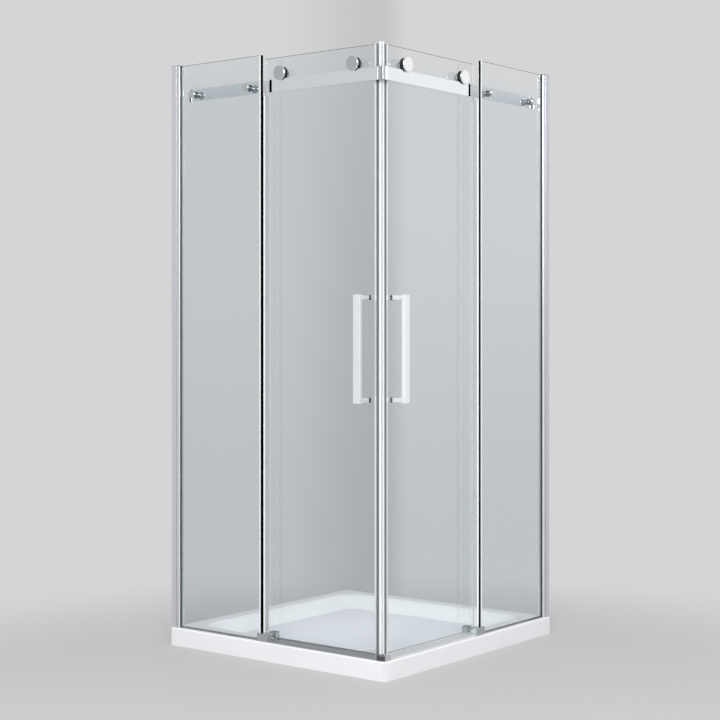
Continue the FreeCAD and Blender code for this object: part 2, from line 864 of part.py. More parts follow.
def makeDoorGlass():
    glass = glassPlate(doorFrontEdge, doorRearEdge, doorFace, doorBottom, doorGlassTop)
    for x in rollerPlaces:
        glass = glass.cut(rod(x, axleLevel, doorFace, doorBack, rollerHoleRadius))
    for z in handleLevels:
        glass = glass.cut(rod(handlePlace, z, doorFace, doorBack, handleHoleRadius))
    return glass


def makeEdgeProfile():
    start = edgeProfileStart
    end = start + edgeProfileLength
    web = start + edgeProfileWeb
    out = doorFace - edgeProfileWall
    back = doorBack + edgeProfileWall
    side = neckThickness / 2
    points = [(start, out), (end, out), (end, doorFace), (doorFrontEdge, doorFace), (doorFrontEdge, doorBack)]
    points += [(end, doorBack), (end, back), (start, back), (start, doorMid + side), (web, doorMid + side)]
    points += [(web, doorMid - side), (start, doorMid - side)]
    return prism(points, doorBottom, doorGlassTop)


def makeMagnet():
    # a hollow triangle, its long side against the magnet of the other door
    a = magnetFace
    b = magnetBack
    w = magnetWall
    slant = magnetGap + w * (1 + math.sqrt(2))
    low = doorBottom - magnetDrop
    shell = prism([(a + magnetGap, a), (b, a), (b, b - magnetGap)], low, fixedGlassTop)
    inside = [(a + w + slant, a + w), (b - w, a + w), (b - w, b - w - slant)]
    return shell.cut(prism(inside, low, fixedGlassTop))


def makeNeck():
    # the soft web between the magnet and the edge profile
    side = neckThickness / 2
    start = edgeProfileStart + edgeProfileWeb
    upper = min(doorMid + side, magnetBack - magnetGap)
    lower = doorMid - side
    points = [(magnetBack, lower), (start, lower), (start, doorMid + side), (magnetBack, upper)]
    return prism(points, doorBottom, doorGlassTop)


def makeWheel(x):
    front = wheelMid - wheelTread
    rear = wheelMid + wheelTread
    rim = flangeRadius
    lip = flangeRound
    bore = wheelBoreFront
    points = [(bore, wheelFront), (rim - lip, wheelFront), (rim, wheelFront + lip), (rim, front - lip)]
    points += [(treadRadius, front), (treadRadius, rear), (rim, rear + lip), (rim, wheelRear - lip)]
    points += [(rim - lip, wheelRear), (bearingRadius, wheelRear), (bearingRadius, bearingFront)]
    points += [(bore, bearingFront)]
    return turned(points, x, axleLevel)


def makeBearing(x):
    bore = journalRadius + journalFit
    near = (bore + bearingRadius - bearingGrooveWidth) / 2
    far = near + bearingGrooveWidth
    front = bearingFront
    rear = bearingRear
    dip = bearingGrooveDepth
    points = [(bore, front), (near, front), (near, front + dip), (far, front + dip), (far, front)]
    points += [(bearingRadius, front), (bearingRadius, rear), (far, rear), (far, rear - dip)]
    points += [(near, rear - dip), (near, rear), (bore, rear)]
    return turned(points, x, axleLevel)


def makeRollerCap(x):
    bore = journalRadius
    rim = rollerCapRadius
    face = rollerCapFace
    back = rollerCapBack
    depth = back - rollerCapBore
    bevel = rollerCapBackBevel
    points = [(0, face), (rim - rollerCapRound, face), (rim, face + rollerCapRound), (rim, back - bevel)]
    points += [(rim - bevel, back), (bore, back), (bore, depth), (0, depth)]
    return turned(points, x, axleLevel)


def makeRollerBolt(x):
    start = rollerCapBack - rollerCapBore
    front = bearingFront - collarGap
    rear = bearingRear + collarGap
    seat = doorFace - rollerGasket
    tip = nutBack + stemEnd
    bevel = rollerStemBevel
    stem = rollerStemRadius
    points = [(0, start), (journalRadius, start), (journalRadius, rollerCapBack)]
    points += [(frontCollarRadius, rollerCapBack), (frontCollarRadius, front), (journalRadius, front)]
    points += [(journalRadius, rear), (rearCollarRadius, rear), (rearCollarRadius, seat)]
    points += [(stem, seat), (stem, tip - bevel), (stem - bevel, tip), (0, tip)]
    return turned(points, x, axleLevel)


def makeRollerGaskets(x):
    seat = doorFace - rollerGasket
    sleeve = doorBack - sleeveGap
    bore = rollerStemRadius + threadFit
    wide = rollerGasketRadius
    hole = rollerHoleRadius
    points = [(bore, seat), (wide, seat), (wide, doorFace), (hole, doorFace), (hole, sleeve), (bore, sleeve)]
    front = turned(points, x, axleLevel)
    rear = turned([(bore, doorBack), (wide, doorBack), (wide, nutFront), (bore, nutFront)], x, axleLevel)
    return [front, rear]


def makeRollerNut(x):
    bore = rollerStemRadius + threadFit
    step = nutFront + nutFlangeThickness
    wide = nutFlangeRadius
    bevel = nutFlangeBevel
    points = [(bore, nutFront), (wide, nutFront), (wide, step - bevel), (wide - bevel, step)]
    points += [(nutRadius, step), (nutRadius, nutBack - nutBevel), (nutRadius - nutBevel, nutBack)]
    points += [(bore, nutBack)]
    nut = turned(points, x, axleLevel)
    for side in (-1, 1):
        z0 = axleLevel + side * nutFlat
        z1 = axleLevel + side * (nutRadius + past)
        nut = nut.cut(box(x - nutRadius, step, min(z0, z1), x + nutRadius, nutBack + past, max(z0, z1)))
    return nut


def makeHandle():
    side = handleBarWidth / 2
    back = handleBarFace + handleBarDepth
    seat = doorFace - handleGasket
    grip = box(handlePlace - side, handleBarFace, handleBottom, handlePlace + side, back, handleTop)
    grip = roundEdges(grip, handleRound, lambda b: True)
    armSide = handleArmWidth / 2
    studEnd = doorBack + handleGasket + handleCapDepth - handleCapWall
    for z in handleLevels:
        low = z - handleArmHeight / 2
        high = z + handleArmHeight / 2
        arm = box(handlePlace - armSide, back - handleRound, low, handlePlace + armSide, seat, high)
        arm = roundEdges(arm, handleRound, lambda b: b.YLength > handleRound)
        grip = grip.fuse(arm).fuse(rod(handlePlace, z, seat, studEnd, handleStudRadius))
    return grip


def handlePad(z, y0, y1):
    wide = handleArmWidth / 2 + handleGasketOver
    tall = handleArmHeight / 2 + handleGasketOver
    pad = box(handlePlace - wide, y0, z - tall, handlePlace + wide, y1, z + tall)
    return roundEdges(pad, handleRound, lambda b: b.XLength < 0.01 and b.ZLength < 0.01)


def makeHandleGaskets():
    pads = []
    bore = handleStudRadius + threadFit
    start = doorFace - handleGasket
    end = doorBack + handleGasket
    for z in handleLevels:
        front = handlePad(z, start, doorFace)
        front = front.fuse(rod(handlePlace, z, doorFace, doorBack - sleeveGap, handleHoleRadius))
        pads.append(front.cut(rod(handlePlace, z, start, end, bore)))
        pads.append(handlePad(z, doorBack, end).cut(rod(handlePlace, z, start, end, bore)))
    return pads


def makeHandleCaps():
    caps = []
    start = doorBack + handleGasket
    end = start + handleCapDepth
    side = handleArmWidth / 2
    bore = handleStudRadius + threadFit
    for z in handleLevels:
        low = z - handleArmHeight / 2
        cap = box(handlePlace - side, start, low, handlePlace + side, end, low + handleArmHeight)
        cap = roundEdges(cap, handleRound, lambda b: b.YMax > start + 0.01)
        caps.append(cap.cut(rod(handlePlace, z, start, end - handleCapWall + sleeveGap, bore)))
    return caps


def makeRootParts():
    save("shower_tray", [makeTray()])
    save("waste_cover", [makeWasteCover()])
    saveSides("wall_channel", [makeChannel()])
    saveSides("adjusting_profile", [makeAdjustingProfile()])
    saveBoth("profile_screws", makeSideScrews())
    saveBoth("profile_caps", [makeProfileCap()])
    saveBoth("glass_gaskets", [makeGlassGasket()])
    saveSides("fixed_glass", [makeFixedGlass()])
    saveBoth("bottom_seals", [makeBottomSeal()])
    saveSides("overlap_seal", [makeOverlapSeal()])
    saveSides("rail", [makeRail()])
    save("rail_corner", [placeRight(makeRailCorner())])
    saveBoth("rail_grub_screws", makeGrubs())
    saveBoth("standoff_caps", [makeStandoffCap(x) for x in standoffPlaces])
    saveBoth("standoff_gaskets", [gasket for x in standoffPlaces for gasket in makeStandoffGaskets(x)])
    saveBoth("standoff_barrels", [makeStandoffBarrel(x) for x in standoffPlaces])
    saveBoth("rail_bolts", [makeRailBolt(x) for x in standoffPlaces])
    saveBoth("rail_stops", [makeRailStop()])
    saveSides("guide_block", [makeGuideBlock()])
    saveBoth("guide_liners", makeGuideLiners())
    saveBoth("guide_screws", makeGuideScrews())
    saveSides("threshold", [makeThreshold()])
    save("threshold_joint", [placeRight(makeThresholdJoint())])


def makeDoorParts():
    saveSides("door_glass", [makeDoorGlass()])
    saveSides("edge_profile", [makeEdgeProfile()])
    saveSides("magnet_neck", [makeNeck()])
    saveSides("magnet_strip", [makeMagnet()])
    saveSides("roller_caps", [makeRollerCap(x) for x in rollerPlaces])
    saveSides("roller_bolts", [makeRollerBolt(x) for x in rollerPlaces])
    saveSides("roller_gaskets", [gasket for x in rollerPlaces for gasket in makeRollerGaskets(x)])
    saveSides("roller_nuts", [makeRollerNut(x) for x in rollerPlaces])
    saveSides("handle", [makeHandle()])
    saveSides("handle_gaskets", makeHandleGaskets())
    saveSides("handle_caps", makeHandleCaps())
    for name, x in zip(("front", "rear"), rollerPlaces):
        saveSides("wheel_" + name, [makeWheel(x)])
        saveSides("bearing_" + name, [makeBearing(x)])


makeRootParts()
makeDoorParts()
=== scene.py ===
import math

import bmesh
import bpy
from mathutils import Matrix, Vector


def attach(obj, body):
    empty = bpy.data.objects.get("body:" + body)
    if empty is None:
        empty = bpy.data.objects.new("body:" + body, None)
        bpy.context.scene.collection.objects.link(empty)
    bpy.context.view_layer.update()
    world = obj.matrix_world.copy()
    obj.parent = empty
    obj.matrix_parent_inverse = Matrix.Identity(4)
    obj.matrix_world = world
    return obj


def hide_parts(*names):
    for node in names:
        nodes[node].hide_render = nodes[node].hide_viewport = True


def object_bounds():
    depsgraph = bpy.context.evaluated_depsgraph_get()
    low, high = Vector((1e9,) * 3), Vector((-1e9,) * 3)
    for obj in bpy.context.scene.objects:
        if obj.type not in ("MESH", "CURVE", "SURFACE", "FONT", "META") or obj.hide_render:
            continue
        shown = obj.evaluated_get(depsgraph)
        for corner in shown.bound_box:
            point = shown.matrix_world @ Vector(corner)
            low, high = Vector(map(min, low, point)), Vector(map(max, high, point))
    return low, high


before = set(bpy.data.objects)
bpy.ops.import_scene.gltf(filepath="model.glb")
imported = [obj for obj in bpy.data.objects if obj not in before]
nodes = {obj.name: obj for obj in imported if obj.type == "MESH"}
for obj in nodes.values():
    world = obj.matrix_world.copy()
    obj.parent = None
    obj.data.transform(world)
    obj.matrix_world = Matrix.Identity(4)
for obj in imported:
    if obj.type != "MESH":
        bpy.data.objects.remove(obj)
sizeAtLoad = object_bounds()
sides = ("left", "right")
ends = ("front", "rear")
mm = 0.001
half = sizeAtLoad[1].x  # half the tray's side
print("frame loaded:", len(nodes), "nodes")


# places on an entry side: along the face, inward from the face, and up

def sidePoint(side, along, inward, up):
    if side == "right":
        return Vector((half - inward, along - half, up))
    return Vector((half - along, inward - half, up))


def inwardOf(side):
    # the direction into the cabin, square to the face
    return sidePoint(side, 0, 1, 0) - sidePoint(side, 0, 0, 0)


# colours and node trees

def tone(red, green, blue):
    # screen values from 0 to 255, turned into linear light
    def linear(value):
        value = value / 255
        return value / 12.92 if value < 0.04045 else ((value + 0.055) / 1.055) ** 2.4
    return (linear(red), linear(green), linear(blue), 1.0)


class NodeTree:
    def __init__(self, tree):
        self.tree = tree

    def add(self, kind, values=None, **settings):
        # values go into the node's sockets, settings are its own properties
        node = self.tree.nodes.new(kind)
        for name, value in settings.items():
            setattr(node, name, value)
        for socket, value in (values or {}).items():
            self.set(node.inputs[socket], value)
        return node

    def set(self, socket, value):
        # a socket is linked, anything else is its value
        if hasattr(value, "is_linked"):
            self.tree.links.new(value, socket)
        else:
            socket.default_value = value

    def math(self, operation, first, second=0.0):
        return self.add("ShaderNodeMath", {0: first, 1: second}, operation=operation).outputs[0]

    def mix(self, factor, first, second):
        return self.add("ShaderNodeMix", {0: factor, 6: first, 7: second}, data_type="RGBA").outputs[2]

    def blend(self, factor, first, second):
        return self.add("ShaderNodeMixShader", {0: factor, 1: first, 2: second}).outputs[0]

    def remap(self, source, low, high, lowOut=0.0, highOut=1.0):
        limits = {"Value": source, "From Min": low, "From Max": high, "To Min": lowOut, "To Max": highOut}
        return self.add("ShaderNodeMapRange", limits, interpolation_type="SMOOTHSTEP").outputs[0]

    def place(self):
        return self.add("ShaderNodeTexCoord").outputs["Object"]

    def split(self, vector):
        return self.add("ShaderNodeSeparateXYZ", {0: vector}).outputs

    def normal(self, kind="True Normal"):
        return self.split(self.add("ShaderNodeNewGeometry").outputs[kind])

    def vector(self, **parts):
        return self.add("ShaderNodeCombineXYZ", parts).outputs[0]

    def noise(self, place, scale, detail, stretch=None):
        if stretch:
            place = self.add("ShaderNodeMapping", {"Scale": stretch, "Vector": place}).outputs[0]
        return self.add("ShaderNodeTexNoise", {"Scale": scale, "Detail": detail, "Vector": place}).outputs["Fac"]

    def bump(self, height, strength, distance):
        values = {"Strength": strength, "Distance": distance, "Height": height}
        return self.add("ShaderNodeBump", values).outputs[0]


def newMaterial(name):
    material = bpy.data.materials.new(name)
    material.use_nodes = True
    return material, NodeTree(material.node_tree), material.node_tree.nodes["Principled BSDF"]


def surfaceOf(material):
    return material.node_tree.nodes["Material Output"].inputs["Surface"]


# finishes

noiseLook = {
    # scale and detail
    "metalCloud": (9.0, 3.0), "drawnLines": (3.0, 4.0), "polish": (220.0, 4.0), "profileLines": (3.0, 0.5),
    "trayCloud": (5.0, 2.0), "trayPeel": (700.0, 2.0), "glassFilm": (60.0, 3.0),
    "gasketGrain": (180.0, 2.0), "mouldCloud": (24.0, 3.0), "mouldGrain": (600.0, 3.0),
}
grainLook = {
    # grain limits, roughness shares at those limits, bump strength and bump depth in metres
    "metal": (0.25, 0.8, 0.85, 1.5, 0.03, 0.0002),
    "profile": (0.25, 0.8, 0.85, 1.3, 0.02, 0.0002),
    "threshold": (0.25, 0.8, 0.85, 1.3, 0.03, 0.0002),
    "rail": (0.25, 0.8, 0.85, 1.3, 0.002, 0.0002),
    "tray": (0.3, 0.7, 1.0, 1.6, 0.05, 0.0003),
    "gasket": (0.3, 0.7, 0.8, 1.2, 0.1, 0.0003),
    "moulded": (0.3, 0.7, 0.85, 1.25, 0.1, 0.0002),
}


def finishSurface(t, shader, color, grain, kind, rough, values):
    # where a finish ends: its colour, grained roughness, bump and plain values
    low, high, smoothShare, roughShare, strength, depth = grainLook[kind]
    t.set(shader.inputs["Base Color"], color)
    t.set(shader.inputs["Roughness"], t.remap(grain, low, high, rough * smoothShare, rough * roughShare))
    t.set(shader.inputs["Normal"], t.bump(grain, strength, depth))
    for socket, value in values.items():
        shader.inputs[socket].default_value = value


metalLooks = {
    # base colour, shade colour, roughness, metallic share, noise stretch
    "chromePolish": (tone(232, 235, 237), tone(224, 227, 230), 0.04, 1.0, None),
    "railPolish": (tone(244, 247, 249), tone(240, 243, 245), 0.03, 1.0, None),
    # painted shade and painted light: the left handles take a darker copy of one satin finish, the right handles a
    # lighter copy
    "handlePaintedShade": (tone(231, 235, 237), tone(226, 230, 232), 0.34, 0.42, None),
    "handlePaintedLight": (tone(247, 250, 251), tone(242, 246, 247), 0.34, 0.42, None),
    "plainSteel": (tone(176, 178, 181), tone(160, 162, 166), 0.24, 1.0, None),
    "profilePolish": (tone(246, 249, 251), tone(240, 243, 246), 0.16, 0.6, (400.0, 400.0, 1.5)),
    # painted shade and painted light: the left roller caps take a darker copy of one brushed finish, the right ones a
    # lighter copy
    "capPaintedShade": (tone(204, 206, 209), tone(197, 199, 202), 0.10, 1.0, None),
    "capPaintedLight": (tone(250, 251, 252), tone(246, 247, 248), 0.10, 1.0, None),
    "standoffChrome": (tone(208, 212, 214), tone(200, 204, 206), 0.06, 1.0, None),
    # painted shade: the standoff barrels' chrome is painted far darker than the caps' chrome
    "barrelChromePaintedShade": (tone(118, 122, 124), tone(104, 108, 110), 0.14, 1.0, None),
    "guideSatin": (tone(200, 205, 205), tone(190, 195, 195), 0.20, 1.0, None),
    # painted shade and painted light: the left threshold strip takes a darker copy of the finish, the right strip a
    # lighter one
    "thresholdPaintedShade": (tone(176, 179, 182), tone(168, 171, 174), 0.22, 1.0, (1.5, 400.0, 400.0)),
    "thresholdPaintedLight": (tone(234, 236, 237), tone(228, 230, 231), 0.30, 0.7, (400.0, 1.5, 400.0)),
}


def metalMaterial(name):
    base, shade, rough, metallic, stretch = metalLooks[name]
    material, t, shader = newMaterial(name)
    place = t.place()
    color = t.mix(t.noise(place, *noiseLook["metalCloud"]), base, shade)
    scale, detail = noiseLook["drawnLines" if stretch else "polish"]
    grain = t.noise(place, scale, detail, stretch)  # a stretch lays draw lines along the piece
    finishSurface(t, shader, color, grain, "metal", rough, {"Metallic": metallic})
    return material


trayLook = {
    # slope is painted light for the basin's slopes
    "white": tone(236, 236, 239), "warm": tone(232, 232, 235), "slope": tone(252, 252, 253),
    # corner is painted shade for the rounded upright corners
    "corner": tone(222, 222, 225), "roughness": 0.36,
    # how far a face leans before it counts as a slope, and turns before it counts as a corner
    "tilt": (0.999, 0.985), "upward": 0.5, "cornerShadeTurn": (0.1, 0.45),
    "gloss": {"Specular IOR Level": 0.14, "Coat Weight": 0.03, "Coat Roughness": 0.1},
}


def trayMaterial():
    # gloss plastic skin with a slight orange peel
    material, t, shader = newMaterial("trayWhite")
    place = t.place()
    skin = t.mix(t.noise(place, *noiseLook["trayCloud"]), trayLook["white"], trayLook["warm"])
    # painted light: the basin's slopes are a little brighter than its floor, the upright faces aren't
    lean = t.normal()[2]
    upward = t.math("GREATER_THAN", lean, trayLook["upward"])
    skin = t.mix(t.math("MULTIPLY", t.remap(lean, *trayLook["tilt"]), upward), skin, trayLook["slope"])
    # painted shade: the rounded upright corners are darker than the faces beside them, which holds down their highlight
    turned = t.normal("Normal")
    corner = t.remap(t.math("ABSOLUTE", t.math("MULTIPLY", turned[0], turned[1])), *trayLook["cornerShadeTurn"])
    grain = t.noise(place, *noiseLook["trayPeel"])
    color = t.mix(corner, skin, trayLook["corner"])
    finishSurface(t, shader, color, grain, "tray", trayLook["roughness"], trayLook["gloss"])
    return material


glassLook = {
    # tint of the glass with painted shade in it, low down, half way up and beside the top edge: darker low down and on
    # the left, lighter beside the top edge
    "shadedTint": {
        "left": (tone(223, 229, 232), tone(232, 238, 240), tone(243, 247, 248)),
        "right": (tone(226, 233, 236), tone(239, 245, 248), tone(251, 253, 254)),
    },
    "lowShadedTint": (0.35, 1.35), "highShadedTint": (1.74, 1.87),
    # bevel is a painted highlight on the bevels of the upright edges
    "shadow": tone(254, 255, 255), "topEdge": tone(112, 122, 122), "bevel": tone(240, 244, 244),
    # the fixed pane's black cut edge is painted shade
    "fixedEdge": tone(4, 7, 7), "doorEdge": tone(206, 214, 214),
    # how squarely a face has to point for a pane's face, its bevel and its top edge
    "faceTurn": 0.9, "bevelTurn": 0.4, "topTurn": 0.5,
    "ior": 1.45, "filmRough": (0.4, 0.9, 0.0, 0.02),
}


def glassMaterial(name, side, faceAxis, edgeColor):
    # clear plate whose tint carries painted shade; its cut edges are opaque, with painted highlights on the bevels
    # along the upright ones
    material, t, shader = newMaterial(name + side.title())
    lowShadedTint, midShadedTint, highShadedTint = glassLook["shadedTint"][side]
    place = t.place()
    height = t.split(place)[2]
    # painted shade: the tint darkens towards the bottom and lightens beside the top edge
    shadedTint = t.mix(t.remap(height, *glassLook["lowShadedTint"]), lowShadedTint, midShadedTint)
    shadedTint = t.mix(t.remap(height, *glassLook["highShadedTint"]), shadedTint, highShadedTint)
    normal = t.normal()
    facing = t.math("ABSOLUTE", normal[faceAxis])
    level = t.math("GREATER_THAN", t.math("ABSOLUTE", normal[2]), glassLook["topTurn"])
    cut = t.math("LESS_THAN", facing, glassLook["faceTurn"])
    # painted highlight: slanted faces of the upright cut edges take the pale bevel colour
    slanted = t.math("GREATER_THAN", facing, glassLook["bevelTurn"])
    bevel = t.math("MULTIPLY", slanted, t.math("SUBTRACT", 1.0, level))
    edge = t.mix(level, t.mix(bevel, edgeColor, glassLook["bevel"]), glassLook["topEdge"])
    t.set(shader.inputs["Base Color"], t.mix(cut, shadedTint, edge))
    film = t.noise(place, *noiseLook["glassFilm"])
    t.set(shader.inputs["Roughness"], t.remap(film, *glassLook["filmRough"]))
    t.set(shader.inputs["Transmission Weight"], t.math("SUBTRACT", 1.0, cut))
    shader.inputs["IOR"].default_value = glassLook["ior"]
    clear = t.add("ShaderNodeBsdfTransparent", {0: glassLook["shadow"]})
    path = t.add("ShaderNodeLightPath").outputs
    unseen = t.math("MAXIMUM", path["Is Shadow Ray"], path["Is Diffuse Ray"])
    t.set(surfaceOf(material), t.blend(unseen, shader.outputs[0], clear.outputs[0]))
    return material


profileLook = {
    # face, nose and mouth colours, how far from the tray's middle the dark part of the mouth lies,
    # roughness and metallic share
    # the adjusting profile's white nose tone is a painted highlight
    "adjusting": (tone(226, 229, 233), tone(255, 255, 255), tone(92, 97, 99), (0.429, 0.4385), 0.3, 1.0),
    "channel": (tone(214, 216, 220), tone(204, 206, 210), tone(186, 188, 191), (0.0, 1.0), 0.44, 0.7),
}
profileTurn = {"nose": 0.15, "mouth": 0.95, "stretch": (400.0, 400.0, 0.5)}


def profileMaterial(kind, side, alongAxis):
    # polished aluminium whose rounded nose is painted with its own tone beside its dark mouth; on the adjusting profile
    # that tone is a white painted highlight
    face, noseTone, mouthTone, (mouthLow, mouthHigh), rough, metallic = profileLook[kind]
    material, t, shader = newMaterial(kind + side.title())
    place = t.place()
    along = t.math("ABSOLUTE", t.normal()[alongAxis])
    # faces turned partly along the face take the nose tone, a painted highlight on the adjusting profile
    nose = t.math("GREATER_THAN", along, profileTurn["nose"])
    depth = t.math("ABSOLUTE", t.split(place)[1 - alongAxis])
    beside = t.math("MULTIPLY", t.math("GREATER_THAN", depth, mouthLow), t.math("LESS_THAN", depth, mouthHigh))
    mouth = t.math("MULTIPLY", t.math("GREATER_THAN", along, profileTurn["mouth"]), beside)
    color = t.mix(mouth, t.mix(nose, face, noseTone), mouthTone)
    grain = t.noise(place, *noiseLook["profileLines"], profileTurn["stretch"])
    finishSurface(t, shader, color, grain, "profile", rough, {"Metallic": metallic})
    return material


gasketLook = {
    "outside": tone(72, 77, 80), "inside": tone(188, 194, 196), "middle": 0.429, "roughness": 0.5, "gloss": 0.2,
}


def gasketMaterial():
    # glazing gasket: dark outside, painted pale where it is seen through the glass, as a painted highlight
    material, t, shader = newMaterial("glazingGasket")
    place = t.place()
    spot = t.split(place)
    depth = t.math("MAXIMUM", t.math("ABSOLUTE", spot[0]), t.math("ABSOLUTE", spot[1]))
    outside = t.math("GREATER_THAN", depth, gasketLook["middle"])
    color = t.mix(outside, gasketLook["inside"], gasketLook["outside"])
    grain = t.noise(place, *noiseLook["gasketGrain"])
    gloss = {"Specular IOR Level": gasketLook["gloss"]}
    finishSurface(t, shader, color, grain, "gasket", gasketLook["roughness"], gloss)
    return material


cornerLook = {
    # left half with painted shade, right half with painted light, seam, half the width of the seam, roughness, metallic
    # share
    "threshold": (tone(96, 96, 100), tone(206, 205, 208), tone(40, 40, 42), 0.0018, 0.3, 0.8),
    "rail": (tone(206, 209, 212), tone(246, 248, 249), tone(214, 218, 220), 0.0006, 0.05, 1.0),
}


def cornerMaterial(kind):
    # a corner piece in two halves that meet in a seam; the darker left half is painted shade, the lighter right half
    # painted light
    left, right, seamTone, seamReach, rough, metallic = cornerLook[kind]
    material, t, shader = newMaterial(kind + "Corner")
    place = t.place()
    spot = t.split(place)
    across = t.math("ADD", spot[0], spot[1])
    shadedAndLitHalves = t.mix(t.math("GREATER_THAN", across, 0.0), left, right)
    seam = t.math("LESS_THAN", t.math("ABSOLUTE", across), seamReach)
    color = t.mix(seam, shadedAndLitHalves, seamTone)
    grain = t.noise(place, *noiseLook["polish"])
    finishSurface(t, shader, color, grain, kind, rough, {"Metallic": metallic})
    return material


softLooks = {
    # base colour, shade colour, roughness, alpha, gloss
    "blackNylon": (tone(14, 14, 15), tone(30, 30, 31), 0.38, 1.0, 0.5),
    "blackRubber": (tone(16, 16, 17), tone(32, 32, 33), 0.6, 1.0, 0.5),
    "magnetWhite": (tone(244, 248, 250), tone(238, 243, 245), 0.22, 1.0, 0.5),
    "capGrey": (tone(158, 160, 163), tone(148, 150, 153), 0.45, 1.0, 0.5),
    # the seal's white lips and light bands are painted highlights; the black strip on the glass seal is painted shade
    "sealLipHighlight": (tone(246, 249, 250), tone(234, 239, 241), 0.3, 1.0, 0.5),
    "edgeShade": (tone(3, 4, 4), tone(6, 7, 7), 0.4, 1.0, 0.0),
    "bottomSeal": (tone(96, 102, 104), tone(84, 90, 92), 0.5, 0.3, 0.3),
    "stripGasket": (tone(134, 139, 142), tone(122, 127, 130), 0.5, 1.0, 0.2),
    "sealMilky": (tone(238, 243, 244), tone(226, 232, 234), 0.3, 0.62, 0.5),
    "sealBand": (tone(192, 196, 197), tone(184, 188, 189), 0.5, 0.75, 0.1),
    "sealGap": (tone(166, 174, 177), tone(158, 166, 169), 0.5, 0.22, 0.0),
    "sealFin": (tone(214, 220, 222), tone(206, 212, 214), 0.5, 0.12, 0.05),
    "clearWasher": (tone(226, 232, 233), tone(210, 217, 219), 0.2, 0.5, 0.5),
}


def softMaterial(name):
    # plastics and rubbers with a fine moulded grain
    base, shade, rough, alpha, gloss = softLooks[name]
    material, t, shader = newMaterial(name)
    place = t.place()
    color = t.mix(t.noise(place, *noiseLook["mouldCloud"]), base, shade)
    grain = t.noise(place, *noiseLook["mouldGrain"])
    finishSurface(t, shader, color, grain, "moulded", rough, {"Alpha": alpha, "Specular IOR Level": gloss})
    return material


finish = {name: metalMaterial(name) for name in metalLooks}
finish.update({name: softMaterial(name) for name in softLooks})
finish["trayWhite"] = trayMaterial()
finish["glazingGasket"] = gasketMaterial()
for kind in cornerLook:
    finish[kind + "Corner"] = cornerMaterial(kind)
for side, axis in zip(sides, (1, 0)):
    for kind in ("fixed", "door"):
        finish[kind + "Glass" + side] = glassMaterial(kind + "Glass", side, axis, glassLook[kind + "Edge"])
    for kind in profileLook:
        finish[kind + side] = profileMaterial(kind, side, 1 - axis)
print("finishes made:", len(finish))


def paint(look, *names):
    for name in names:
        mesh = nodes[name].data
        mesh.materials.clear()
        mesh.materials.append(finish[look])


for side in sides:
    paint("fixedGlass" + side, "fixed_glass_" + side)
    paint("doorGlass" + side, "door_glass_" + side)
    paint("channel" + side, "wall_channel_" + side)
paint("glazingGasket", "glass_gaskets")
paint("bottomSeal", "bottom_seals")


# mesh building, with places in an entry side's own lengths in millimetres:
# a along the face, d inward from it, z up

meshLook = {
    # points closer than this many metres are one, radii under this many millimetres are a single point,
    # and the angles in degrees from which an edge stays sharp or is rolled
    "weld": 1e-7, "pointRadius": 0.001, "sharpAngle": 38, "rollAngle": 40,
    # two curves on one side of an outline never meet
    "curveShare": 0.45,
}


def placeOn(side):
    return lambda a, d, z: sidePoint(side, a * mm, d * mm, z * mm)


def rounded(points, radius, steps=3, closed=True):
    # the corners of an outline, turned into short curves
    outline = []
    count = len(points)
    for index, (x, y) in enumerate(points):
        if not closed and index in (0, count - 1):
            outline.append((x, y))
            continue
        curveEnds = []
        for other in (points[index - 1], points[(index + 1) % count]):
            reach = math.dist((x, y), other)
            share = min(radius, reach * meshLook["curveShare"]) / reach
            curveEnds.append((x + (other[0] - x) * share, y + (other[1] - y) * share))
        (startX, startY), (endX, endY) = curveEnds
        for step in range(steps + 1):
            t = step / steps
            start, middle, end = (1 - t) ** 2, 2 * t * (1 - t), t * t
            outline.append((start * startX + middle * x + end * endX, start * startY + middle * y + end * endY))
    return outline


def roundedAt(points, radius, steps, *corners):
    # only the corners with these numbers are rounded
    curves = rounded(points, radius, steps)
    outline = []
    for index, point in enumerate(points):
        first = index * (steps + 1)
        outline += curves[first:first + steps + 1] if index in corners else [point]
    return outline


def circlePoints(radius, steps):
    # round the origin, or a single point where there is no radius
    turns = steps if radius > meshLook["pointRadius"] else 1
    angles = [2 * math.pi * step / steps for step in range(turns)]
    return [(radius * math.cos(t), radius * math.sin(t)) for t in angles]


def bridge(bm, first, second, material=0):
    # quads between two rings, or triangles to a single point
    count = max(len(first), len(second))
    for index in range(count):
        after = (index + 1) % count
        corners = [first[index % len(first)], first[after % len(first)]]
        corners += [second[after % len(second)], second[index % len(second)]]
        face = bm.faces.new(list(dict.fromkeys(corners)))
        face.material_index = material


def bridgeAll(bm, rings, material=0):
    for first, second in zip(rings, rings[1:]):
        bridge(bm, first, second, material)


def addExtrusion(bm, place, section, axis, low, high, material=0):
    # axis z takes (a, d), axis a takes (d, z) and axis d takes (a, z); low may follow the section
    orders = {"z": lambda u, v, w: (u, v, w), "a": lambda u, v, w: (w, u, v), "d": lambda u, v, w: (u, w, v)}
    order = orders[axis]
    start = low if callable(low) else lambda u, v: low
    rings = [[bm.verts.new(place(*order(u, v, start(u, v)))) for u, v in section]]
    rings.append([bm.verts.new(place(*order(u, v, high))) for u, v in section])
    bridge(bm, *rings, material)
    for ring in rings:
        bm.faces.new(ring).material_index = material


def addBlock(bm, place, low, high):
    (a0, d0, z0), (a1, d1, z1) = low, high
    addExtrusion(bm, place, [(a0, d0), (a1, d0), (a1, d1), (a0, d1)], "z", z0, z1)


